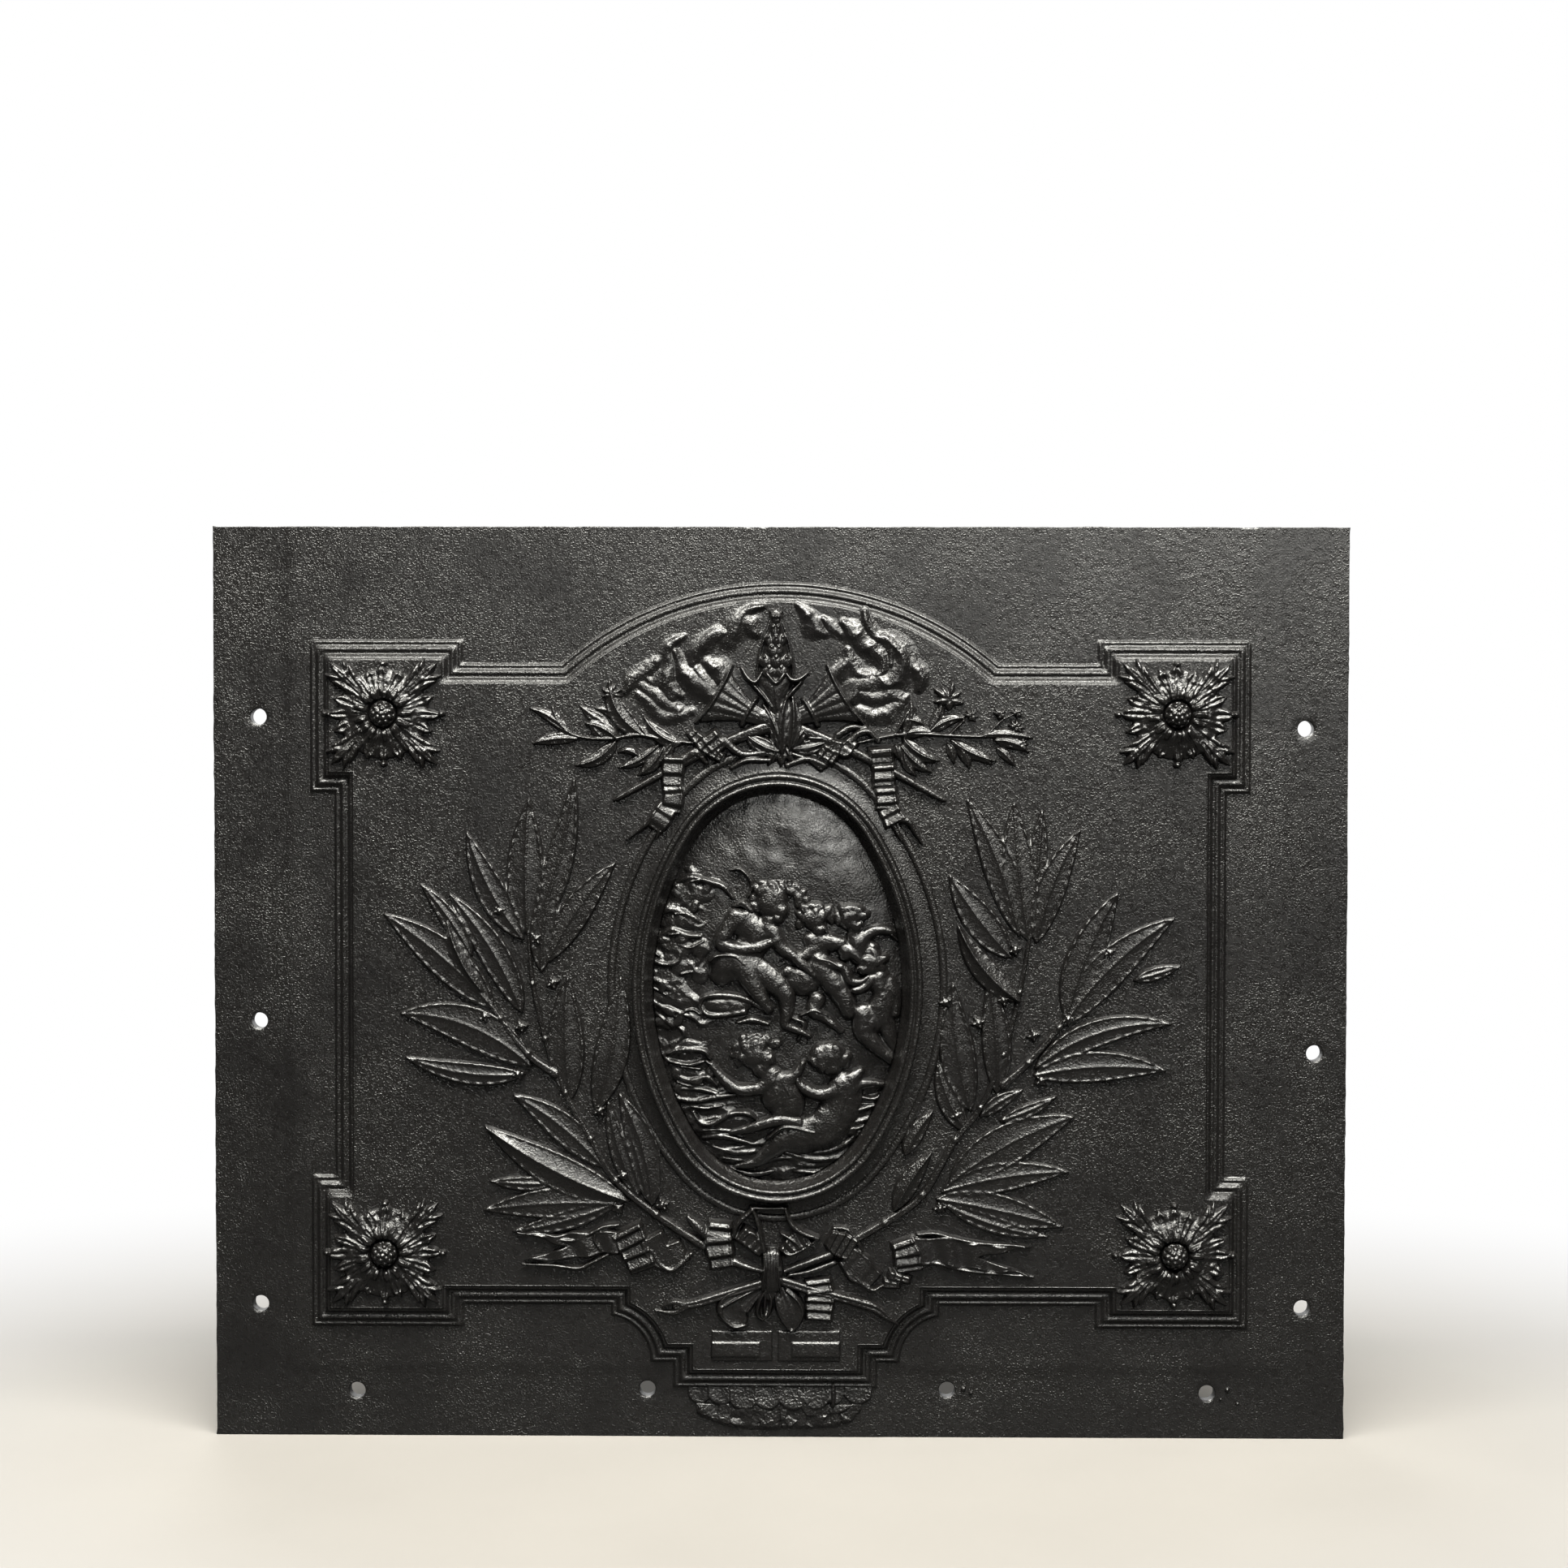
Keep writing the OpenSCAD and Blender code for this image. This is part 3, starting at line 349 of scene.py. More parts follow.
def plate_face(x, z):
    """Depth of the plate's front: a middle board, a step down to the border, and slow waves."""
    def between(left, right, soft):
        return smooth_step(x, left - soft, left + soft) \
            * smooth_step(-x, -right - soft, -right + soft)

    board = between(BOARD_LEFT, BOARD_RIGHT, 1.2) * smooth_step(z, BOARD_LOW - 1, BOARD_LOW + 1)
    pad = between(PAD_LEFT, PAD_RIGHT, 1) * smooth_step(BOARD_LOW + 8 - z, 0, 4)
    board = np.maximum(board, pad)
    return FLANGE + BOARD_STEP * (1 - board) + 0.12 + 0.1 * waves(x, z, (170, 90, 45), 5)


def plate_edge(inset):
    """The plate's outline drawn inset millimetres inside, wavering by up to about a millimetre
    except along the foot."""
    half = PLATE_W / 2
    loop = []
    for (x0, z0), (x1, z1), (nx, nz) in (
            ((-half, 0), (half, 0), (0, 1)), ((half, 0), (half, PLATE_H), (-1, 0)),
            ((half, PLATE_H), (-half, PLATE_H), (0, -1)), ((-half, PLATE_H), (-half, 0), (1, 0))):
        n = int(max(abs(x1 - x0), abs(z1 - z0)) / 4.0)
        t = np.arange(n) / n
        x, z = x0 + (x1 - x0) * t, z0 + (z1 - z0) * t
        bite = 0.45 + 0.28 * waves(x, z, (260, 70, 23), 11) + 0.12 * waves(x, z, (9, 6), 12)
        bite = np.clip(bite, 0, 1.3) * (0 if nz == 1 else 1)
        loop += list(zip(np.clip(x + nx * bite, -half + inset, half - inset),
                         np.clip(z + nz * bite, inset, PLATE_H - inset)))
    return np.array(loop)


def lip(loop, drop):
    """A loop on the plate's front, this much under it."""
    x, z = loop.T
    return np.c_[x, z, np.minimum(plate_face(x, z) + drop, BACK - 1)]


def grid_points(x0, x1, z0, z1, step=6.0):
    """The points of a square grid."""
    gx, gz = np.meshgrid(np.arange(x0, x1, step), np.arange(z0, z1, step))
    return np.c_[gx.ravel(), gz.ravel()]


edge_rings = [lip(plate_edge(inset), drop)
              for inset, drop in ((0.0, 0.7), (0.3, 0.12), (0.8, 0.0), (1.0, 0.0), (2.4, 0.0))]
around = np.linspace(0, math.tau, 40, endpoint=False)
hole_rings = [[lip(np.c_[hx + r * np.cos(around), hz + r * np.sin(around)], drop)
               for r, drop in ((HOLE_R, 0.9), (HOLE_R + 0.35, 0.25), (HOLE_R + 1.1, 0.0))]
              for hx, hz in HOLES]
near_step = [(x, z) for z in np.arange(4, 722, 6.0) for x in (
    BOARD_LEFT - 1.2, BOARD_LEFT + 1.2, BOARD_RIGHT - 1.2, BOARD_RIGHT + 1.2)]
near_step += [(x, z) for x in np.arange(-386, 395, 6.0) for z in (BOARD_LOW - 1, BOARD_LOW + 1)]
loose = np.vstack([grid_points(-444, 445, 6, 722), near_step])
for hx, hz in HOLES:
    loose = loose[np.hypot(loose[:, 0] - hx, loose[:, 1] - hz) > HOLE_R + 3]
loose = np.c_[loose, plate_face(*loose.T)]
piece("base_plate", *slab(edge_rings, hole_rings, loose, BACK), IRON)

# ---------------------------------------------------------------- raised panel
# A board laid on the plate, with square ears at its corners, an arch over the crest and a stepped
# pedestal below. Its face is flat and lies nearly 10 mm over the plate; inside the medallion it is
# cut away for the sunk oval.

PANEL_RISE, PANEL_HALF, PANEL_LOW, PANEL_HIGH = 9.5, 336.5, 123.0, 600.0
PANEL = FLANGE - PANEL_RISE
ARCH_R, ARCH_CROWN = 247.6, 664.6
EAR_IN, EAR_OUT, HIGH_EAR, LOW_EAR = 268.0, 355.5, 618.5, 105.0
PEDESTAL_X, NECK_HALF, SCOTIA_X, SCOTIA_Z, SCOTIA_R = -3.0, 114.0, 136.4, 60.5, 54.0
SHELF_Z, PLINTH_HALF, PLINTH_LOW = 77.0, 64.5, 56.5


def panel_edge(out):
    """The panel's outline drawn out millimetres outside its true line, clockwise from the arch."""
    ear = EAR_OUT - EAR_IN
    r, centre_z = ARCH_R + out, ARCH_CROWN - ARCH_R
    foot = math.acos(math.sqrt(r * r - (PANEL_HIGH + out - centre_z) ** 2) / r)
    arch = [(r * math.cos(a), centre_z + r * math.sin(a))
            for a in np.linspace(math.pi - foot, foot, 61)]

    def half(side):
        px = PEDESTAL_X * side
        q = SCOTIA_R - out
        start = math.acos(max(-1, (NECK_HALF + out - SCOTIA_X) / q))
        stop = math.pi - math.asin((SHELF_Z - out - SCOTIA_Z) / q)
        hollow = [(px + SCOTIA_X + q * math.cos(a), SCOTIA_Z + q * math.sin(a))
                  for a in np.linspace(start, stop, 13)]
        return [(EAR_IN - out, PANEL_HIGH + out), (EAR_IN - out, HIGH_EAR + out),
                (EAR_OUT + out, HIGH_EAR + out), (EAR_OUT + out, HIGH_EAR - ear - out),
                (PANEL_HALF + out, HIGH_EAR - ear - out), (PANEL_HALF + out, LOW_EAR + ear + out),
                (EAR_OUT + out, LOW_EAR + ear + out), (EAR_OUT + out, LOW_EAR - out),
                (EAR_IN - out, LOW_EAR - out), (EAR_IN - out, PANEL_LOW - out),
                (px + NECK_HALF + out, PANEL_LOW - out)] + hollow + [
                    (px + PLINTH_HALF + out, SHELF_Z - out),
                    (px + PLINTH_HALF + out, PLINTH_LOW - out)]

    return np.array(arch + half(1) + [(-x, z) for x, z in reversed(half(-1))])


true_edge = panel_edge(0)
sides = np.linalg.norm(np.roll(true_edge, -1, 0) - true_edge, axis=1)
SIDE_STEPS = np.maximum(1, np.round(sides / 5.0)).astype(int)


def panel_line(out):
    """The panel's outline with each side cut into equal steps of about 5 mm."""
    loop = panel_edge(out)
    return np.array([a + (b - a) * k / n for a, b, n in zip(loop, np.roll(loop, -1, 0), SIDE_STEPS)
                     for k in range(n)])


# The medallion's lines are all one oval of four arcs, drawn larger or smaller.
OVAL_X, OVAL_Z = -1.5, 360.5
RING_OVAL = (114.2, 169.2, 91.0)


def oval(out, centre=(OVAL_X, OVAL_Z), shape=RING_OVAL, steps=56):
    """A closed oval line: half width, half height, end radius; out is how far outside it runs."""
    half_w, half_h, end_r = shape
    side_r = ((half_h - end_r) ** 2 + half_w ** 2 - end_r ** 2) / (2 * (half_w - end_r))
    side_x, end_z = side_r - half_w, half_h - end_r
    bend = math.atan2(end_z, side_x)
    a = bend * (2 * np.arange(steps) / steps - 1)
    b = bend + (math.pi - 2 * bend) * np.arange(steps) / steps
    one = np.vstack([np.c_[(side_r + out) * np.cos(a) - side_x, (side_r + out) * np.sin(a)],
                     np.c_[(end_r + out) * np.cos(b), end_z + (end_r + out) * np.sin(b)]])
    return np.vstack([one, -one]) + centre


def on_panel(points):
    """Flat points with the depth of the panel's face, which is slightly wavy."""
    return np.c_[points, PANEL + 0.10 + 0.08 * waves(*points.T, (150, 80, 40), 21)]


loose = grid_points(-350, 351, 62, 662)
loose = loose[inside(loose, panel_line(-3)) & ~inside(loose, oval(-3))]
panel_rings = [on_panel(panel_line(out)) for out in (0, -0.4, -0.8, -1.6)]
piece("raised_panel", *slab(panel_rings, [[on_panel(oval(-6))]], on_panel(loose), FLANGE), IRON)

# ---------------------------------------------------------------- panel moulding
# A moulding run in one piece and mitred at every corner. From the panel to the plate it has a
# fillet, a steep fall into a groove, a flat band, a slope, a narrow bead and a last slope.
# Casting has softened its arrises.

MOULDING_W = 17.4
MOULDING = [
    (-0.4, PANEL_RISE - 0.9), (-0.2, PANEL_RISE + 0.05), (0.6, PANEL_RISE), (1.9, 7.7), (2.9, 7.6),
    (5.4, 3.9), (6.8, 3.8), (8.2, 4.7), (9.6, 4.7), (12.2, 1.9), (13.4, 1.8), (14.2, 2.3),
    (15.0, 2.2), (16.6, 0.4), (MOULDING_W, -0.3)]


def softened(section, radius):
    """A section of (out, height) corners with each inner corner rounded off, and two points near
    the ends of each straight, which keep it flat under smooth shading."""
    p = np.asarray(section, float)
    out = [p[0]]
    for a, b, c in zip(p[:-2], p[1:-1], p[2:]):
        u, v = a - b, c - b
        r = min(radius, 0.45 * np.linalg.norm(u), 0.45 * np.linalg.norm(v))
        start, end = b + u / np.linalg.norm(u) * r, b + v / np.linalg.norm(v) * r
        for t in (0, 0.5, 1):
            out.append((1 - t) ** 2 * start + 2 * t * (1 - t) * b + t * t * end)
    out.append(p[-1])
    whole = [out[0]]
    for a, b in zip(out[:-1], out[1:]):
        if np.linalg.norm(b - a) > 0.6:
            near = 0.12 / np.linalg.norm(b - a)
            whole += [a + (b - a) * near, b - (b - a) * near]
        whole.append(b)
    return np.array(whole)


def loft(lines, closed_across=True):
    """Quads through equal closed lines of points, each (n, 3); the last joins the first."""
    n, m = len(lines[0]), len(lines)
    here = np.arange(n)
    after = (here + 1) % n
    faces = []
    for j in range(m if closed_across else m - 1):
        k = (j + 1) % m
        faces.append(np.c_[j * n + here, j * n + after, k * n + after, k * n + here])
    return np.vstack(lines), np.vstack(faces)


def at_depth(loop, depth):
    """A flat line at this depth, which is one number or one for each point."""
    return np.c_[loop[:, 0], np.zeros(len(loop)) + depth, loop[:, 1]]


lines = []
for out, height in softened(MOULDING, 0.35):
    loop = panel_line(out)
    wander = 0.07 * waves(loop[:, 0] + 9 * out, loop[:, 1], (70, 26), 31)
    lines.append(at_depth(loop, FLANGE - height + wander))
lines += [at_depth(panel_line(out), FLANGE + 2.0) for out in (MOULDING_W, -0.4)]
piece("panel_moulding", *loft(lines), IRON)

# ---------------------------------------------------------------- medallion frame
# An oval ring of two beads with a groove between them. A hollow rises to it from a thin outer
# bead, and inside it a steep slope drops to the sunk, slightly domed and lumpy field.

RING_H, FIELD_SINK, DOME = 12.0, 4.7, 9.0
BEAD_OVAL, BEAD_CENTRE = (132.2, 186.2, 99.5), (-1.5, 363.0)
RING = [(0, -1.5), (0.0, RING_H - 3.2)] \
    + [(-2.2 + 2.2 * math.cos(a), RING_H - 2.6 + 2.6 * math.sin(a))
       for a in np.linspace(0.2, 2.5, 7)] \
    + [(-4.7, RING_H - 2.1), (-5.3, RING_H - 2.4), (-5.9, RING_H - 2.1)] \
    + [(-7.9 + 1.9 * math.cos(a), RING_H - 2.4 + 2.3 * math.sin(a))
       for a in np.linspace(0.6, 2.9, 7)] \
    + [(-10.0, RING_H - 4.2), (-10.8, RING_H - 5.6), (-11.6, 4.4), (-12.4, 2.0), (-13.4, 0.2),
       (-15.0, -1.5), (-16.5, -5.0), (-8.0, -5.0)]

lines = []
for out, height in RING:
    loop = oval(out)
    skin = 0.2 * lumps(*loop.T, 4.2, 44) + 0.12 * lumps(*loop.T, 2.1, 45)
    lines.append(at_depth(loop, PANEL - height - skin * (height > 3)))
piece("medallion_ring", *loft(lines), RELIEF_IRON)

ring_line, bead_line = oval(0.3), oval(0, BEAD_CENTRE, BEAD_OVAL)
lines = [at_depth(ring_line + (bead_line - ring_line) * t, PANEL - (0.4 + 2.6 * (1 - t) ** 3))
         for t in np.linspace(0, 1, 13)]
lines += [at_depth(loop, PANEL + 1.0) for loop in (bead_line, ring_line)]
piece("medallion_hollow", *loft(lines), RELIEF_IRON)

lines = []
for a in np.linspace(-0.5, math.pi + 0.5, 11):
    loop = oval(3.3 * math.cos(a) - 0.9, BEAD_CENTRE, BEAD_OVAL)
    wander = 0.25 * lumps(*loop.T, 5.0, 43)
    lines.append(at_depth(loop, PANEL - 0.4 - (2.6 + wander) * math.sin(a)))
piece("medallion_bead", *loft(lines), RELIEF_IRON)


def field_depth(x, z):
    """The domed field inside the ring, as height over the panel."""
    reach = np.hypot((x - OVAL_X) / 98.5, (z - OVAL_Z) / 153.5)
    return -FIELD_SINK + DOME * np.clip(1 - reach ** 4.4, 0, 1)


rim_line = oval(-13.6, steps=60)
lines = []
for t in np.linspace(1, 0.02, 72):
    loop = (rim_line - (OVAL_X, OVAL_Z)) * t + (OVAL_X, OVAL_Z)
    height = field_depth(*loop.T) + 0.62 * lumps(*loop.T, 15.0, 41)
    lines.append(at_depth(loop, PANEL - (height + 0.34 * lumps(*loop.T, 6.5, 42))))
n, last = len(rim_line), len(lines)
points, faces = loft(lines, False)
field_back = PANEL + 4.9
points = np.vstack([points, at_depth(rim_line, field_back),
                    (OVAL_X, PANEL + FIELD_SINK - DOME, OVAL_Z), (OVAL_X, field_back, OVAL_Z)])
here, after = np.arange(n), (np.arange(n) + 1) % n
front_hub = np.full(n, len(points) - 2)
faces = np.vstack([
    faces, np.c_[last * n + here, last * n + after, after, here],
    np.c_[(last - 1) * n + here, (last - 1) * n + after, front_hub, front_hub],
    np.c_[last * n + after, last * n + here, front_hub + 1, front_hub + 1]])
piece("medallion_field", points, faces, RELIEF_IRON)

# ---------------------------------------------------------------- carving boards
# Ornament is modelled as a carver makes it, as heights over the ground it lies on. A board is a
# fine grid of heights; strokes are laid on it one over another, its edges fall steeply into the
# ground, and the grid becomes a closed shell whose rim lies just under the ground.

UNDER = -1.1
STEEP = 3.0
SEEN_FROM = np.array([0.0, 580.0])
SEEN_LARGER = 0.994


def placed(points):
    """The layout was taken off one view of the front, in which nearer things look larger."""
    out = np.array(points, float)
    out[..., :2] = SEEN_FROM + (out[..., :2] - SEEN_FROM) * SEEN_LARGER
    return out


def curve(points, step=1.2):
    """A smooth line through points of any number of columns, as many finer points."""
    p = np.asarray(points, float)
    if len(p) == 2:
        p = np.array([p[0], (p[0] + p[1]) / 2, p[1]])
    p = np.vstack([2 * p[0] - p[1], p, 2 * p[-1] - p[-2]])
    out = []
    for a, b, c, d in zip(p[:-3], p[1:-2], p[2:-1], p[3:]):
        n = max(2, int(np.hypot(*(c - b)[:2]) / step))
        t = (np.arange(n) / n)[:, None]
        out.append(0.5 * (2 * b + (c - a) * t + (2 * a - 5 * b + 4 * c - d) * t * t
                          + (3 * b - a - 3 * c + d) * t ** 3))
    return np.vstack(out + [p[-2]])


def blurred(grid, times, steps):
    """A grid averaged over its neighbours at these steps along both sides."""
    for _ in range(times):
        p = np.pad(grid, steps[-1] // 2, mode="edge")
        grid = sum(p[i:i + grid.shape[0], j:j + grid.shape[1]]
                   for i in steps for j in steps) / len(steps) ** 2
    return grid


class Board:
    """A grid of heights in millimetres over the ground, cut with steep sides."""

    def __init__(self, left, right, low, high, cell=0.65):
        self.cell = cell
        self.x, self.z = np.meshgrid(np.arange(left, right, cell), np.arange(low, high, cell))
        self.h = np.full(self.x.shape, -9.0)

    def window(self, line, reach):
        """The rows and columns of the grid within reach of a line."""
        corner = np.array([self.x[0, 0], self.z[0, 0]])
        low = (line[:, :2].min(0) - reach - corner) / self.cell
        high = (line[:, :2].max(0) + reach - corner) / self.cell
        cols, rows = (slice(max(0, int(a)), max(0, int(b) + 2)) for a, b in zip(low, high))
        return rows, cols

    def inside(self, loop):
        """Which points of the grid lie inside a closed loop."""
        return inside(np.c_[self.x.ravel(), self.z.ravel()], loop).reshape(self.x.shape)

    def lay(self, heights, here=..., blend=0.0):
        """The higher of what is there and what is laid, with a fillet of this size."""
        old = self.h[here]
        new = np.maximum(old, heights)
        if blend:
            new = new + np.maximum(blend - np.abs(old - heights), 0) ** 2 / (4 * blend)
        self.h[here] = new

    def along(self, line, reach):
        """For grid points near a line: how far along it (0 to 1), distance along in mm, distance
        to its left in mm, and the line's further columns at that place."""
        here = self.window(line, reach)
        x, z = self.x[here], self.z[here]
        best = np.full(x.shape, 1e9)
        gone, side, index = np.zeros(x.shape), np.ones(x.shape), np.zeros(x.shape)
        steps = np.hypot(*(line[1:, :2] - line[:-1, :2]).T)
        total = np.concatenate([[0], np.cumsum(steps)])
        for i, (a, b) in enumerate(zip(line[:-1], line[1:])):
            dx, dz = b[0] - a[0], b[1] - a[1]
            size = max(dx * dx + dz * dz, 1e-9)
            t = np.clip(((x - a[0]) * dx + (z - a[1]) * dz) / size, 0, 1)
            px, pz = x - a[0] - t * dx, z - a[1] - t * dz
            away = px * px + pz * pz
            near = away < best
            best[near] = away[near]
            gone[near] = (total[i] + t * steps[i])[near]
            side[near] = np.sign(dx * pz - dz * px)[near]
            index[near] = (i + t)[near]
        more = [np.interp(index, np.arange(len(line)), column) for column in line.T[2:]]
        return here, gone / total[-1], gone, np.sqrt(best) * side, more

    def rod(self, points, blend=0.0, bulge=2.0, base=0.0, groove=0.0, fine=1.2):
        """A rounded rod through points of (x, z, half width, height)."""
        line = curve(points, fine)
        here, _, _, d, (w, top) = self.along(line, line[:, 2].max() + 4)
        w = np.maximum(w, 0.3)
        u = np.clip(np.abs(d) / w, 0, 1)
        h = base + (top - base) * (np.sqrt(1 - u * u) if bulge == 2
                                   else (1 - u ** bulge) ** (1 / bulge))
        if groove:
            h = h - groove * np.exp(-(d / (0.28 * w)) ** 2)
        self.lay(np.where(np.abs(d) < w, h, base - STEEP * (np.abs(d) - w)), here, blend)

    def rods(self, runs, **shape):
        """Rods laid out as the front is seen."""
        for run in runs:
            self.rod(placed(run), **shape)

    def bulb(self, x, z, rx, rz, top, turn=0.0, base=0.0, blend=0.0):
        """A rounded swelling, turned anticlockwise by so many degrees."""
        here = self.window(np.array([[x, z]]), max(rx, rz) + 3)
        c, s = math.cos(math.radians(turn)), math.sin(math.radians(turn))
        dx, dz = self.x[here] - x, self.z[here] - z
        r = np.sqrt(((dx * c + dz * s) / rx) ** 2 + ((dz * c - dx * s) / rz) ** 2)
        h = base + (top - base) * np.sqrt(np.clip(1 - r * r, 0, 1))
        self.lay(np.where(r < 1, h, base - STEEP * (r - 1) * min(rx, rz)), here, blend)

    def soften(self, times):
        for _ in range(times):
            p = np.pad(self.h, 1, mode="edge")
            rows = p[:-2] + 2 * p[1:-1] + p[2:]
            self.h = (rows[:, :-2] + 2 * rows[:, 1:-1] + rows[:, 2:]) / 16

    def cast(self, name, iron=RELIEF_IRON, ground=PANEL, rough=0.10, soft=1):
        """The board's heights, softened, as a closed shell on this ground. Its points note how far
        they stand over what is round them, where the paint is rubbed."""
        self.soften(soft)
        skin = rough * (lumps(self.x, self.z, 3.4, 1) + 0.7 * lumps(self.x, self.z, 1.7, 2))
        h = np.maximum(np.where(self.h > 0.3, self.h + skin, self.h), UNDER)
        tall = h > -0.25
        cell = tall[:-1, :-1] | tall[1:, :-1] | tall[:-1, 1:] | tall[1:, 1:]
        ids = np.arange(h.size).reshape(h.shape)
        quads = np.c_[ids[:-1, :-1][cell], ids[:-1, 1:][cell],
                      ids[1:, 1:][cell], ids[1:, :-1][cell]]
        used, quads = np.unique(quads, return_inverse=True)
        quads = quads.reshape(-1, 4)
        n = len(used)
        x, z = self.x.ravel()[used], self.z.ravel()[used]
        ground = np.broadcast_to(ground, h.shape).ravel()[used]
        front = np.c_[x, ground - h.ravel()[used], z]
        # the back is flat, inside the edges that one quad has
        pairs = np.vstack([quads[:, [i, (i + 1) % 4]] for i in range(4)])
        rim = pairs[~np.isin(pairs[:, 0] * n + pairs[:, 1], pairs[:, 1] * n + pairs[:, 0])]
        edge = np.unique(rim)
        place = np.full(n, -1)
        place[edge] = np.arange(len(edge))
        flat = [Vector((x[i], z[i])) for i in edge]
        _, _, tris, source, _, _ = delaunay_2d_cdt(flat, place[rim].tolist(), [], 0, 1e-6)
        tris = np.array([s[0] for s in source])[np.array(tris)]
        middle = np.c_[x, z][edge][tris].mean(1)
        row, col = (np.clip(((middle[:, k] - low[0, 0]) / self.cell).astype(int), 0,
                            cell.shape[1 - k] - 1) for k, low in ((1, self.z), (0, self.x)))
        tris = tris[cell[row, col]]
        rear = np.c_[x[edge], ground[edge] - UNDER + 0.3, z[edge]]
        behind = place + n
        solid = piece(name, np.vstack([front, rear]), np.vstack([
            quads[:, [0, 1, 2]], quads[:, [0, 2, 3]], tris[:, ::-1] + n,
            np.c_[rim[:, 1], rim[:, 0], behind[rim[:, 0]]],
            np.c_[rim[:, 1], behind[rim[:, 0]], behind[rim[:, 1]]]]), iron)
        wide = blurred(self.h.clip(UNDER), 3, (0, 3, 6))
        worn = np.clip((h - wide) / 1.6, -1, 1).ravel()[used]
        note = solid.data.attributes.new("raised", "FLOAT", "POINT")
        note.data.foreach_set("value", np.concatenate([worn, np.full(len(edge), -1)])
                              .astype(np.float32)[:len(solid.data.vertices)])


# ---------------------------------------------------------------- laurel branches
# Two branches rise from the bow and open round the medallion. Each leaf is a thin blade with a
# rib, a fine rolled margin that waves every 9 mm or so, and stands some 3 mm over the panel; a
# few are folded along the rib and catch the light. Stems are forked rods, berries small knots.


def leaf(board, base, tip, width, bow=0.0, fold=0.8, rise=3.4, rim=1.0, seed=0):
    """A leaf of this width from base to tip that bows to its left by a share of its length."""
    a, b = placed(base), placed(tip)
    mid = (a + b) / 2 + 2 * bow * np.array([a[1] - b[1], b[0] - a[0]])
    t = np.linspace(0, 1, 26)[:, None]
    line = (1 - t) ** 2 * a + 2 * t * (1 - t) * mid + t * t * b
    here, t, gone, d, _ = board.along(line, width / 2 + 4)
    full = np.sin(math.pi * np.clip(t, 0.004, 0.999) ** 0.82)
    w = width / 2 * np.clip(full, 0, 1) ** 0.85 + 0.5
    away = np.abs(d)
    inward = w - away
    lift = rise * (0.55 + 0.45 * np.sin(math.pi * np.clip(t * 1.1, 0, 1)) ** 0.5)
    wave = np.cos(math.tau * gone / 9.2 + seed * 1.7 + (d > 0) * 2.2)
    margin = rim * (0.75 + 0.55 * wave) * np.exp(-((inward - 0.9) / 0.75) ** 2)
    rib = (0.35 + 0.5 * (1 - t)) * rise * 0.32 * np.exp(-(d / 0.75) ** 2)
    veins = 0.03 * np.cos(math.tau * (gone - 0.9 * away) / 6.5) * np.clip(inward / 4, 0, 1)
    hollow = -0.10 * rise * np.sin(math.pi * np.clip(away / w, 0, 1))
    h = lift + fold * (1 - np.clip(away / w, 0, 1)) ** 1.2 + margin + rib + veins + hollow
    board.lay(np.where(inward > 0, h, lift + rim * 0.15 - STEEP * -inward), here)


# base, tip and width, then how far it bows and how sharply it is folded
LEFT_LEAVES = [
    ((-200, 402), (-199, 508), 28, 0.02), ((-204, 398), (-248, 482), 22, 0.05),
    ((-196, 400), (-163, 524), 20, -0.04), ((-189, 372), (-175, 456), 19, 0.05),
    ((-184, 380), (-131, 458), 22, 0.04), ((-205, 340), (-262, 433), 22, -0.05),
    ((-236, 356), (-264, 412), 13, 0.06, 4.5), ((-228, 343), (-314, 417), 28, -0.04),
    ((-245, 385), (-285, 441), 13, -0.04), ((-198, 297), (-301, 338), 31, -0.10),
    ((-203, 290), (-297, 303), 16, 0.06), ((-140, 216), (-211, 273), 22, -0.05),
    ((-120, 189), (-234, 248), 27, 0.04, 3.8), ((-126, 186), (-235, 181), 23, -0.03),
    ((-180, 203), (-230, 204), 10, 0.02), ((-146, 262), (-126, 367), 25, -0.04),
    ((-166, 270), (-168, 367), 27, 0.03), ((-112, 192), (-136, 268), 14, 0.04),
    ((-105, 190), (-121, 248), 12, -0.03), ((-101, 186), (-127, 274), 24, -0.06),
    ((-132, 186), (-212, 164), 14, 0.03)]
RIGHT_LEAVES = [
    ((198, 398), (186, 506), 27, 0.02), ((190, 402), (149, 509), 24, -0.04),
    ((204, 396), (238, 485), 22, 0.05), ((203, 440), (208, 500), 12, 0),
    ((184, 384), (135, 449), 24, 0.03), ((191, 349), (142, 409), 18, 0.08, 5.0),
    ((228, 336), (268, 435), 27, 0.04), ((226, 330), (313, 415), 28, 0.06),
    ((282, 366), (318, 377), 9, 0), ((204, 296), (311, 331), 20, 0.10),
    ((203, 290), (307, 294), 23, 0.05), ((152, 262), (138, 362), 26, 0.04),
    ((173, 276), (166, 367), 21, -0.03), ((148, 246), (126, 298), 16, 0.05),
    ((92, 182), (121, 228), 15, 0.04, 4.0), ((100, 226), (122, 261), 12, 0.05, 2.5),
    ((160, 257), (193, 278), 10, 0.05), ((176, 254), (220, 273), 9, -0.03),
    ((136, 204), (234, 257), 31, 0.05), ((130, 197), (230, 213), 22, 0.04),
    ((126, 191), (226, 169), 24, 0.02), ((134, 186), (214, 161), 12, -0.04)]
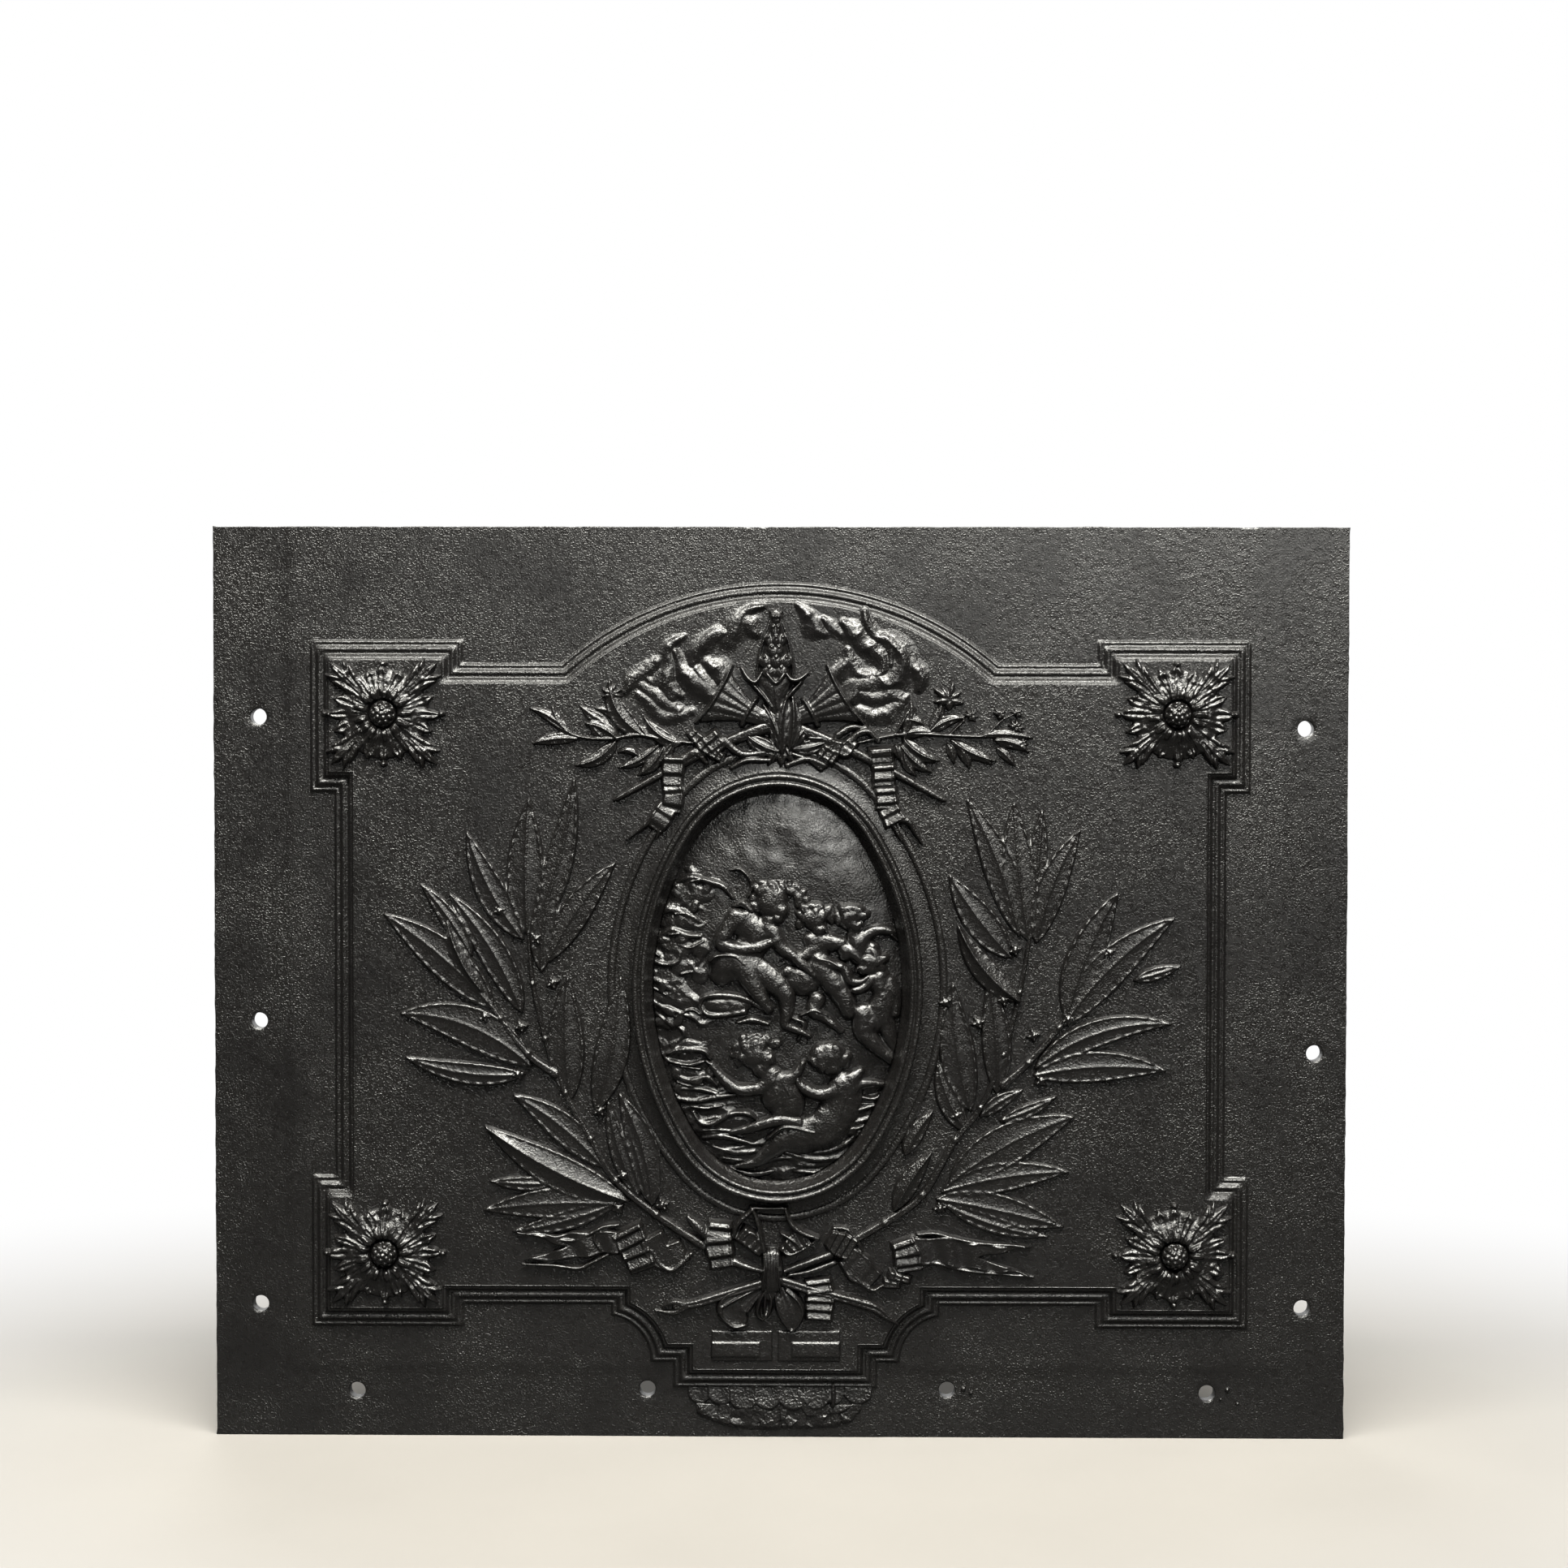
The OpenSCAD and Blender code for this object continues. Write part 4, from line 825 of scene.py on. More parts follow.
STEMS = {
    "left": [
        [(-60, 153), (-98, 178), (-130, 205), (-150, 238), (-170, 275), (-186, 318), (-196, 362),
         (-200, 404)],
        [(-178, 290), (-200, 306), (-222, 334), (-240, 362)]],
    "right": [
        [(46, 150), (84, 172), (114, 194), (140, 238), (160, 264), (178, 306), (191, 356),
         (199, 402)],
        [(178, 282), (198, 300), (222, 328), (236, 350)]]}
BERRIES = {
    "left": [
        (-205, 328), (-180, 363), (-208, 290), (-234, 336), (-143, 261), (-128, 183), (-93, 186),
        (-193, 398), (-124, 209), (-222, 420)],
    "right": [
        (187, 390), (178, 350), (202, 322), (208, 286), (229, 335), (141, 258), (128, 184),
        (262, 388), (132, 348), (158, 332)]}
for side, leaves, edges in (("left", LEFT_LEAVES, (-320, -94)),
                            ("right", RIGHT_LEAVES, (82, 322))):
    board = Board(*edges, 152, 532)
    for i, one in enumerate(leaves):
        leaf(board, *one, seed=i)
    board.cast("laurel_leaves_" + side)

dice = np.random.default_rng(3)
for side, edges, berry_edges in (("left", (-262, -52), (-246, -84)),
                                 ("right", (38, 262), (118, 272))):
    board = Board(*edges, 142, 420, 0.55)
    for run in STEMS[side]:
        n = len(run) - 1
        run = placed([(x, z, 3.9 - 2.2 * i / n, 5.6 - 2.4 * i / n)
                      for i, (x, z) in enumerate(run)])
        board.rod(run, groove=0.7)
        for x, z, thick, top in run[1:-1]:
            board.bulb(x, z, thick + 0.9, thick + 0.5, top + 0.8, 40, blend=1.0)
    board.cast("laurel_stem_" + side)
    board = Board(*berry_edges, 174, 430, 0.5)
    for x, z in placed(BERRIES[side]):
        board.bulb(x, z, 4.0, 3.6, 5.6, dice.uniform(0, 90), base=1.5)
        for k in range(4):
            a = dice.uniform(0, 0.8) + k * math.pi / 2
            board.bulb(x + 3.8 * math.cos(a), z + 3.4 * math.sin(a), 2.1, 1.5,
                       dice.uniform(4.2, 6.6), math.degrees(a), base=1.0, blend=0.4)
        board.bulb(x, z, 1.3, 1.3, 7.0, blend=0.3)
    board.cast("laurel_berries_" + side)

# ---------------------------------------------------------------- medallion scene
# Six children at play among clouds and waves, carved in soft low relief on the domed field.
# Limbs are rods melted into one another, heads are swellings with locks of hair set on them, and
# fine ridges and dents make the features, fingers and folds.


def figure(name, seed, rods, fine, bulbs, head=(), dents=(), curls=(), mass=(), long=1.0):
    """Carves one piece of the scene and casts it on the field. Places are from the medallion's
    middle, across and up, then the half width and height of a rod or ridge, the half width, half
    height and height of a bulb or head and its turn, and the size and depth of a dent. A mass is
    an outline filled with wavy heaps, long times as wide as high."""
    spots = np.array([p[:2] for run in rods + fine + [bulbs, head] for p in run])
    left, low, wide, high = (*(spots.min(0) - 17), *(spots.max(0) + 17))
    board = Board(left + OVAL_X, wide + OVAL_X, low + OVAL_Z, high + OVAL_Z, 0.45)
    dice = np.random.default_rng(seed)
    stout = 1.2 if head else 1.0

    def at(points):
        return [(x + OVAL_X, z + OVAL_Z, *more) for x, z, *more in points]

    if mass:
        mask = blurred(board.inside(np.array(at(mass))).astype(float), 3, (0, 3, 7, 11, 14))
        heaps = 2.4 * (1 - 2.2 * np.abs(lumps(board.x / long, board.z, 11, seed))) \
            + 0.8 * (1 - 2.2 * np.abs(lumps(board.x / long, board.z, 5.2, seed + 3)))
        board.lay((heaps + 1.4) * mask - 1.1)
    for bulb in at(bulbs):
        board.bulb(*bulb, base=-0.5, blend=2.5)
    for run in rods:
        board.rod([(x, z, r * stout, top) for x, z, r, top in at(run)],
                  blend=2.2, base=-0.5, fine=2.0)
    for x, z, rx, rz, *top_turn in at(head):
        board.bulb(x, z, rx * 1.06, rz * 1.06, *top_turn, base=1.0, blend=1.6)
    board.soften(2)
    for x, z in at(curls):
        r, a = dice.uniform(3.4, 4.6), dice.uniform(0, 180)
        here = board.window(np.array([[x, z]]), 1)
        top = max(3.0, board.h[here].max()) + dice.uniform(0.2, 0.9)
        board.bulb(x, z, r * 1.25, r * 0.8, top, a, base=top - 1.8, blend=1.4)
    for run in fine:
        board.rod(at(run), blend=1.2, base=2.0, fine=1.5)
    for x, z, rx, rz, deep in at(dents):
        here = board.window(np.array([[x, z]]), 2.2 * max(rx, rz))
        r = ((board.x[here] - x) / rx) ** 2 + ((board.z[here] - z) / rz) ** 2
        board.h[here] -= 0.7 * deep * np.exp(-r)
    flesh = 0.55 * lumps(board.x, board.z, 8, seed) + 0.35 * lumps(board.x, board.z, 3.6, seed + 9)
    board.h = np.where(board.h > 0.5, board.h + flesh, board.h)
    # the highest parts are eased, so that nothing stands more than 11.6 mm over the field
    over = np.maximum(board.h - 7, 0)
    board.h = np.where(over > 0, 7 + 4.6 * (1 - np.exp(-over / 4.6)), board.h)
    # nothing is carved past the field's rim
    board.h[~board.inside(oval(-15.5, steps=30))] = -9
    board.cast(name, ground=PANEL - field_depth(board.x, board.z))


figure(
    "putto_seated", 50,
    rods=[
        [(-26, 52, 10, 7), (-17.2, 42, 11, 7.5), (-23.5, 29.5, 11, 7), (-33.5, 19.5, 12, 7)],
        [(-6.5, 54, 6, 7), (-9, 44.5, 7.5, 7.5)],
        [(-33, 55.8, 7, 8.5), (-41, 44.5, 5.6, 8.8), (-45, 35.8, 5, 9.2), (-33.5, 31.8, 4.8, 9.8),
         (-18.5, 31.8, 4.2, 10.2), (-7.2, 35.8, 3.6, 10), (-0.5, 39, 2.8, 9.5)],
        [(-3.5, 44.5, 6.4, 8.8), (4, 32, 5.2, 9.2), (12.8, 25.8, 4.5, 9.2), (22.8, 17, 4, 8.8),
         (29, 10.8, 3.2, 8)],
        [(-43.5, 19, 9, 7.5), (-31, 20.8, 9.5, 9.6), (-22.2, 8.2, 7.8, 10),
         (-14.8, -4.2, 5.8, 9.6), (-6.8, -16, 4, 8.2)],
        [(-18.5, 17, 9, 7.5), (-3.5, 5.8, 9, 9), (6.5, -5.5, 6.8, 9.2), (7.5, -20.5, 4.5, 8.2),
         (6.5, -28.5, 3.6, 7.8), (16.5, -33, 3.2, 7.2), (25, -37.2, 2.2, 5.5)]],
    fine=[
        [(-53, 22, 1.4, 8.5), (-47.2, 26, 1.7, 9.5), (-34, 26, 1.7, 10.4), (-26, 19.5, 1.5, 10.6)],
        [(-13.5, 29.5, 1.2, 8.6), (-26, 32, 1, 8.4)]],
    bulbs=[(-31, 55.8, 9, 8, 8.2), (-43.5, 10.8, 11, 9, 5.5)],
    head=[(-4.5, 69, 11.5, 12.5, 10.2, -20), (3, 62, 6, 7, 10.4), (0.5, 55.5, 5, 4.6, 9.4)],
    dents=[(4.5, 65, 2.2, 1.5, 1.8), (-26, 8.2, 4, 3, 1), (-23.5, 37, 2, 2, 0.8)],
    curls=[
        (-17, 64), (-18.5, 71.5), (-16.5, 78), (-11, 82.5), (-4.5, 84.5), (2.5, 84.5), (9.5, 82.8),
        (15.5, 79), (19, 74.5), (22, 70), (-11, 77), (-3.5, 79), (4, 79), (11, 76.5), (15.5, 72.5),
        (16.5, 68)])
figure(
    "putto_reclining", 51,
    rods=[
        [(26.5, 38.2, 6, 6.8), (39, 36.5, 7, 7.2), (50.2, 35.8, 5, 6.8)],
        [(31.5, 24.5, 4.6, 8), (42.8, 19.5, 4.5, 8.6), (52.8, 15.8, 4, 8.6), (57, 6.5, 4, 8.6),
         (66.5, 5.5, 3.4, 8), (71.5, 9.5, 2.6, 7.4)],
        [(29, 32, 5, 6.5), (19, 25, 4.4, 7.2), (10.2, 28.2, 3.4, 7)],
        [(31.5, 17, 8, 8), (42.8, 5.8, 8.5, 9.2), (52.8, -8, 7.5, 9.2), (56.5, -18.5, 5.8, 8.2)],
        [(31.5, -9.2, 6, 6.4), (28.5, -18, 4.8, 6.6), (38.5, -23.5, 3.8, 6.8),
         (50.5, -33.5, 2.4, 5)]],
    fine=[
        [(19, -20.5, 1.3, 6.6), (29, -16.8, 1.5, 7.4), (39, -20.5, 1.3, 7.2)],
        [(31.5, 24, 1.2, 9), (41.5, 22, 1.3, 9.6), (49.5, 17, 1.2, 9.4)],
        [(37, 48.2, 1, 9.2), (39, 44.5, 1, 9)]],
    bulbs=[(31.5, 29.5, 10, 9, 6.2), (19, 5.8, 15, 12, 7, -20), (9, 13.2, 7, 6, 6)],
    head=[(29, 55.8, 9.6, 9.6, 8.6), (33, 47, 6, 6, 8.4)],
    dents=[(33.5, 49.5, 2, 1.3, 1.4), (24.5, -3, 6, 2.4, 1)],
    curls=[
        (18.5, 52), (19, 57.5), (22.5, 62), (28, 64.5), (33.5, 64), (38.5, 61), (42, 56.5),
        (23.5, 56.5), (29.5, 59), (35.5, 57.5)])
figure(
    "putto_behind", 52,
    rods=[
        [(69, 41.5, 5, 6), (79, 46.5, 4, 6.8), (90.2, 45, 3.4, 6.8), (98.2, 40, 2.2, 5.6)],
        [(51.5, 32, 5, 6.6), (62, 26.5, 5, 7.4), (69.5, 16.5, 4, 7.4)],
        [(61.5, 42, 6, 5.8), (64, 32, 8, 6)]],
    fine=[
        [(66.5, 53, 1, 8.8), (68, 49, 1, 8.6)], [(89, 45.8, 1, 7.4), (97.8, 44, 0.9, 6.6)],
        [(90.2, 42, 1, 7), (96.5, 36.5, 0.9, 6)]],
    bulbs=[(65.2, 36.5, 10, 8, 6.2), (74.5, 30.8, 7, 7, 5.8), (54, 25.8, 6, 5, 6)],
    head=[(57.8, 56.5, 10.6, 10, 8.2), (62, 50.5, 6, 6.4, 8.2)],
    dents=[(64, 53, 2, 1.4, 1.4)],
    curls=[(48, 55.8), (51.5, 61), (57, 63), (62.5, 61.5), (67, 57.5), (53, 55), (58, 57.5)])
figure(
    "putto_striding", 53,
    rods=[
        [(80.2, 8.2, 8, 7), (85.2, -5.5, 9.2, 7.6), (80.2, -20.5, 9.8, 7.6), (72, -28, 9, 8)],
        [(89, 5, 4.5, 6.6), (94.5, -8, 4.2, 6.2), (93.5, -20.5, 3.4, 5.6)],
        [(67.8, -20.5, 8, 8), (68, -33.5, 7.4, 8.8), (77, -44.8, 5.8, 8.2), (88, -54.8, 4.2, 7.2),
         (95.5, -62, 3.2, 6.2), (98.5, -58.5, 2.2, 5.4)],
        [(86.5, -28, 6, 6), (89.5, -40.5, 5, 5.6), (93.5, -49.2, 3.6, 4.6)],
        [(74, 7, 4.6, 8), (67.8, 0.8, 4.2, 8.4), (60.2, -1, 3.4, 8)]],
    fine=[
        [(63.5, 17, 1, 8.8), (62, 13.5, 1, 8.6)], [(89, -0.5, 1.2, 7.8), (92.8, -5.5, 1.2, 7.4)],
        [(91.5, -59.2, 1, 7), (96, -55.5, 1, 6.4)]],
    bulbs=[(82.8, -23.5, 9, 9, 7), (82, 2, 9, 8, 7.2)],
    head=[(73.5, 19.5, 9.6, 9.2, 8.6), (68, 15.8, 5, 5.6, 8.6)],
    dents=[(67, 18, 2, 1.4, 1.2), (77.8, -28, 2, 5, 0.9)],
    curls=[
        (81.5, 17), (81, 22.5), (77.5, 27), (72, 28.5), (66.5, 27), (64, 22.5), (76.5, 21),
        (71, 23.5)])
figure(
    "swimmer_left", 54,
    rods=[
        [(6.5, -73, 7, 7.6), (9.5, -88, 11, 7.8), (6.5, -101, 10, 6.6)],
        [(-52, -60.5, 2.6, 5.4), (-43.5, -71, 4, 6.6), (-32.2, -79.2, 4.6, 7.8),
         (-16, -79.5, 5, 8.4), (-4.5, -73, 6, 8.4)],
        [(4, -72.5, 6, 7.8), (12, -70, 5, 8), (17.8, -63, 3.4, 7.4), (20.2, -58.5, 2.4, 6.8)],
        [(-13.5, -63, 6, 7.4), (-3.5, -70.5, 8, 7.8)]],
    fine=[
        [(-53.5, -59.2, 0.9, 5.6), (-56, -57.5, 0.7, 4.8)],
        [(6.5, -77, 1.1, 9), (10.5, -85.5, 1.2, 9)]],
    bulbs=[(0.2, -84.2, 14, 16, 8.2)],
    head=[(-18.5, -51.8, 11.5, 11.5, 9.4), (-8, -55, 6.4, 7.4, 9.2), (-9.5, -61, 5, 4.4, 8.2)],
    dents=[(-5.5, -51.5, 2.2, 1.5, 1.7), (2.5, -90.5, 3, 10, 0.9)],
    curls=[
        (-30.5, -58), (-32.5, -52), (-31, -46), (-26.5, -41.5), (-20.5, -39), (-14, -38.5),
        (-7.5, -40.5), (-2, -44), (-24.5, -47.5), (-18.5, -44.5), (-12, -44.5), (-26, -54)])
figure(
    "swimmer_right", 55,
    rods=[
        [(54, -78.5, 12, 8.4), (50.2, -95.5, 14, 9.2), (39, -111.8, 14.2, 9.2),
         (19, -118.5, 12, 8.2), (4, -121, 9, 7.6), (-7.2, -130.5, 6, 6.8), (-18.5, -139.2, 4, 5.8),
         (-32.5, -142, 2.2, 4.6)],
        [(14.5, -70.5, 3, 6.8), (21.5, -79.2, 4.6, 8.4), (35.2, -83.5, 5.2, 9.2),
         (49, -79.5, 6, 9.4), (60.2, -70.5, 6, 8.6), (65.5, -65.5, 3.6, 7)],
        [(16.5, -106.8, 5, 7.4), (4, -104.5, 5, 8), (-8.5, -106.8, 4.5, 7.4),
         (-23.5, -111.8, 3.8, 6.4), (-36.5, -114.5, 2.4, 5)],
        [(61.5, -76.8, 5, 6.6), (74, -75.5, 3.5, 5.8), (89.5, -78.5, 2.2, 4.6)]],
    fine=[
        [(16.5, -68, 1, 7.4), (13.5, -64, 0.8, 6.6)],
        [(-7.2, -118, 1.2, 8.4), (6.5, -109.2, 1.3, 9.4), (29, -113.5, 1.2, 10)],
        [(54, -85.5, 1.1, 10.4), (49, -103, 1.1, 10.6)]],
    bulbs=[(56.5, -78, 12, 11, 8.8), (16.5, -116.8, 13, 10, 8.2)],
    head=[(40.2, -53.5, 14, 11.5, 9.6), (43.5, -63, 8, 6, 8.4)],
    dents=[(41.5, -98, 3, 12, 1), (31.5, -129.2, 14, 2.6, 1.4)],
    curls=[(31.5, -58), (36, -60.5), (50.5, -59), (54, -56), (34, -54), (46.5, -49.5)])
figure(
    "medallion_clouds", 56,
    mass=[
        (-112, -64), (-64, -60), (-50, -32), (-62, -2), (-52, 30), (-58, 58), (-42, 92), (-80, 96),
        (-110, 50)],
    long=1.3,
    rods=[
        [(-106, 32, 1.8, 3.6), (-101, 23, 2.4, 5), (-89.8, 18.5, 2.6, 5.4), (-79.5, 20.5, 2.4, 5),
         (-76.5, 28, 1.6, 4)],
        [(-92.2, 40.8, 2, 3.6), (-83.5, 45.5, 3, 5), (-71, 41.5, 3, 4.8), (-61, 41, 2, 3.4)],
        [(-96, 55, 2, 3), (-84.5, 61.5, 3, 4.6), (-68.5, 57, 2.6, 4.2), (-61, 52, 1.6, 3)],
        [(-87, 79.5, 1.6, 2.8), (-71, 87, 2.6, 4.2), (-56, 84.5, 3, 4.8), (-43, 80.5, 3, 5.2),
         (-35, 71.5, 2, 4.2)],
        [(-106, 6.5, 2, 3.6), (-96, 5.5, 3, 5), (-84.5, -1, 2.4, 4.2)],
        [(-104, -8, 1.8, 3.2), (-91.5, -15.5, 2.6, 4.6), (-81, -18.5, 2.6, 4.4),
         (-67.5, -23.5, 1.6, 3)],
        [(-96.5, -20.5, 1.6, 3), (-83.5, -30, 2.2, 4)],
        [(-87, -53, 1.8, 3.4), (-76, -49.2, 2.4, 4.8), (-58.5, -49.5, 2.4, 4.8),
         (-53, -55.5, 1.8, 3.6)],
        [(-86, -58.5, 1.6, 3.4), (-71, -61, 2.2, 4.4), (-58, -58, 1.6, 3.4)],
        [(-61, -13, 2, 3.6), (-57, -7, 2.6, 5.2), (-44, -5.5, 3.4, 5.8), (-26, -8, 3, 5.4),
         (-11, -15.5, 2.4, 4.6)],
        [(-61, -13.5, 2, 3.6), (-55.5, -20.5, 2.4, 5), (-43.5, -21, 3, 5.2), (-26, -18.5, 2.6, 5)],
        [(-31.5, -27, 1.6, 3.4), (-19, -25, 3, 4.8), (-7, -28, 1.8, 3.4)],
        [(-37.5, 93, 1.2, 3), (-29.5, 94, 1.6, 5.4), (-22, 87, 1.8, 6), (-20, 80.5, 1.8, 6),
         (-23.5, 72, 1.4, 5)],
        [(-34.5, 65, 2, 4), (-27, 67, 3.4, 6), (-20.5, 61, 3, 6)],
        [(11.5, -23, 1.6, 3.6), (21.5, -28, 2.4, 4.4), (16.5, -40.5, 1.6, 3)]],
    fine=[
        [(-86, 42, 1, 5.6), (-78, 43, 1, 5.8)], [(-101, 29.5, 0.9, 4.4), (-93.5, 25, 0.9, 5)],
        [(-81, 58.5, 0.9, 5.2), (-73, 59, 0.9, 5)], [(-68.5, 84, 1, 5), (-58.5, 86, 1, 5.4)],
        [(-92, 62, 0.9, 3.6), (-86.5, 65.5, 0.9, 3.6)],
        [(-58.5, 37, 0.9, 3.4), (-68.5, 32, 1, 3.8), (-78, 34, 0.9, 3.8)],
        [(-76, 11, 0.9, 3.8), (-67, 13, 0.9, 3.4)], [(-98.5, -0.5, 0.9, 4), (-88, -5.5, 1, 4.4)],
        [(-81, -23, 0.9, 4), (-68.5, -17, 0.9, 3.8), (-61, -20.5, 0.8, 3)]],
    bulbs=[
        (-40, -13.5, 20, 7.5, 5.8), (-79.8, 32, 12, 12, 3.2), (-83.5, 52, 12, 8, 3),
        (-71, 52, 10, 8, 3.2), (-89.8, 7, 11, 10, 3.4), (-93.5, -8, 10, 8, 3),
        (-76, 17, 9, 8, 2.8), (-61, 32, 8, 8, 2.4), (-61, 74.5, 12, 8, 2.8), (-76, 72, 9, 8, 2.6),
        (-86, -28, 9, 6, 2.8), (-73.5, -13, 9, 6, 2.6), (-61, 9.5, 7, 7, 2.2),
        (-68.5, -45.5, 9, 5, 3)],
    dents=[
        (-86, 27, 3.4, 2.2, 1.6), (-43.5, -13.5, 10, 2.4, 1.2), (-68.5, 47, 3, 2, 1.2),
        (-78.5, -8, 4, 2, 1)],
    curls=[
        (-89, 62), (-78, 55), (-65.5, 64), (-91, 37.5), (-75.5, 39), (-85.5, 25), (-98.5, 12),
        (-90.5, 1), (-99.5, -13), (-86.5, -18.5), (-78, -25), (-94.5, -28), (-56, 79), (-67, 80.5),
        (-80.5, 74.5)])
figure(
    "medallion_waves", 57,
    mass=[
        (-94, -60), (-50, -66), (-30, -88), (-8, -98), (-14, -112), (10, -126), (58, -104),
        (60, -86), (94, -82), (74, -128), (30, -154), (-34, -154), (-76, -116)],
    long=3.2,
    rods=[
        [(-66.5, -99, 1.6, 3.4), (-60, -108, 2.6, 5), (-49, -107, 2.8, 5.2),
         (-36, -99.5, 2.6, 5.4), (-23.5, -99, 2.8, 5.6), (-15.5, -104.5, 1.8, 4)],
        [(-58.5, -119.5, 1.8, 3.4), (-43.5, -118, 2.8, 4.8), (-31, -120.5, 2.8, 5),
         (-18, -124, 1.8, 3.6)],
        [(-50.5, -127, 1.6, 3), (-33.5, -131, 2.6, 4.4), (-18, -130, 1.8, 3.4)],
        [(-80.5, -88.5, 1.6, 3.4), (-65.5, -90, 2.6, 4.8), (-48.5, -86.5, 2.8, 5),
         (-33, -84, 1.8, 3.6)],
        [(-76.5, -80.5, 1.4, 3.2), (-61, -80.5, 2.4, 4.6), (-48, -83.5, 1.8, 3.8)],
        [(-82, -69.5, 1.4, 3.2), (-68.5, -73.5, 2.4, 4.8), (-55.5, -70.5, 2.2, 4.6),
         (-47.5, -77, 1.6, 3.6)],
        [(58, -98.5, 1.6, 3.6), (69.5, -95.5, 2.4, 5), (82, -92.5, 1.6, 3.6)],
        [(56, -106.5, 1.6, 3.4), (67, -105.5, 2.4, 4.6), (77.5, -102, 1.6, 3.2)],
        [(29, -131, 1.8, 3.6), (46.5, -128, 3, 5.2), (56.5, -122, 2.6, 5), (62, -116, 1.6, 3.6)],
        [(6.5, -130.5, 1.6, 3.2), (26.5, -136, 2.6, 4.4), (46.5, -135.5, 2.6, 4.4),
         (57.5, -130, 1.6, 3)],
        [(-37, -144.5, 1.6, 3.2), (-18.5, -148.5, 2.8, 4.6), (-3, -145.5, 1.8, 3.4)],
        [(14, -146, 1.6, 3), (31.5, -147, 2.4, 4), (42.5, -142.5, 1.6, 3)],
        [(64, -86, 1.6, 3.4), (77, -88, 2.4, 4.6), (90, -80.5, 1.6, 3.4)],
        [(49, -110.5, 1.6, 4), (61.5, -112, 2.2, 4.6), (72, -109, 1.4, 3.2)]],
    fine=[
        [(-79, -75, 0.9, 3.8), (-68.5, -78, 0.9, 4.2), (-58.5, -76.5, 0.8, 3.6)],
        [(-61, -114, 0.9, 3.8), (-48.5, -112.5, 0.9, 4.2), (-36, -113.5, 0.8, 3.6)],
        [(-68.5, -94.5, 0.9, 3.8), (-56, -95.5, 0.9, 4.2), (-43.5, -93, 0.8, 3.6)],
        [(16.5, -140.5, 0.9, 3.2), (29, -141.5, 0.9, 3.6)],
        [(61.5, -91.5, 0.9, 4), (76.5, -92, 0.8, 3.6)],
        [(-43.5, -135.5, 0.9, 3), (-31, -137.5, 0.9, 3.4)],
        [(39, -123.5, 0.9, 4.6), (51.5, -119.5, 0.9, 4.6)],
        [(-76, -62.5, 0.9, 4.2), (-61, -64, 0.9, 4.4)]],
    bulbs=[
        (-68.5, -83, 14, 10, 2.6), (-38.5, -108, 18, 8, 2.6), (69, -100.5, 12, 9, 2.6),
        (36.5, -133, 20, 7, 2.6), (-26, -133, 18, 9, 2.4), (-71, -68, 10, 8, 2.4)],
    curls=[(-80, -69), (-78, -80), (-81, -88), (59.5, -113.5), (67, -117), (-64, -74), (-53, -67)])

# ---------------------------------------------------------------- rosettes
# Each square ear carries a rosette: four broad leaves of five cupped lobes over four pointed ones
# in the corners, all curling over at the rim, and a crown of small petals round a trough in which
# a pearled boss is set.

ROSETTES = {"top_left": (-312.5, 576.5), "top_right": (312.5, 576.5),
            "bottom_left": (-312.5, 149.0), "bottom_right": (312.5, 149.0)}


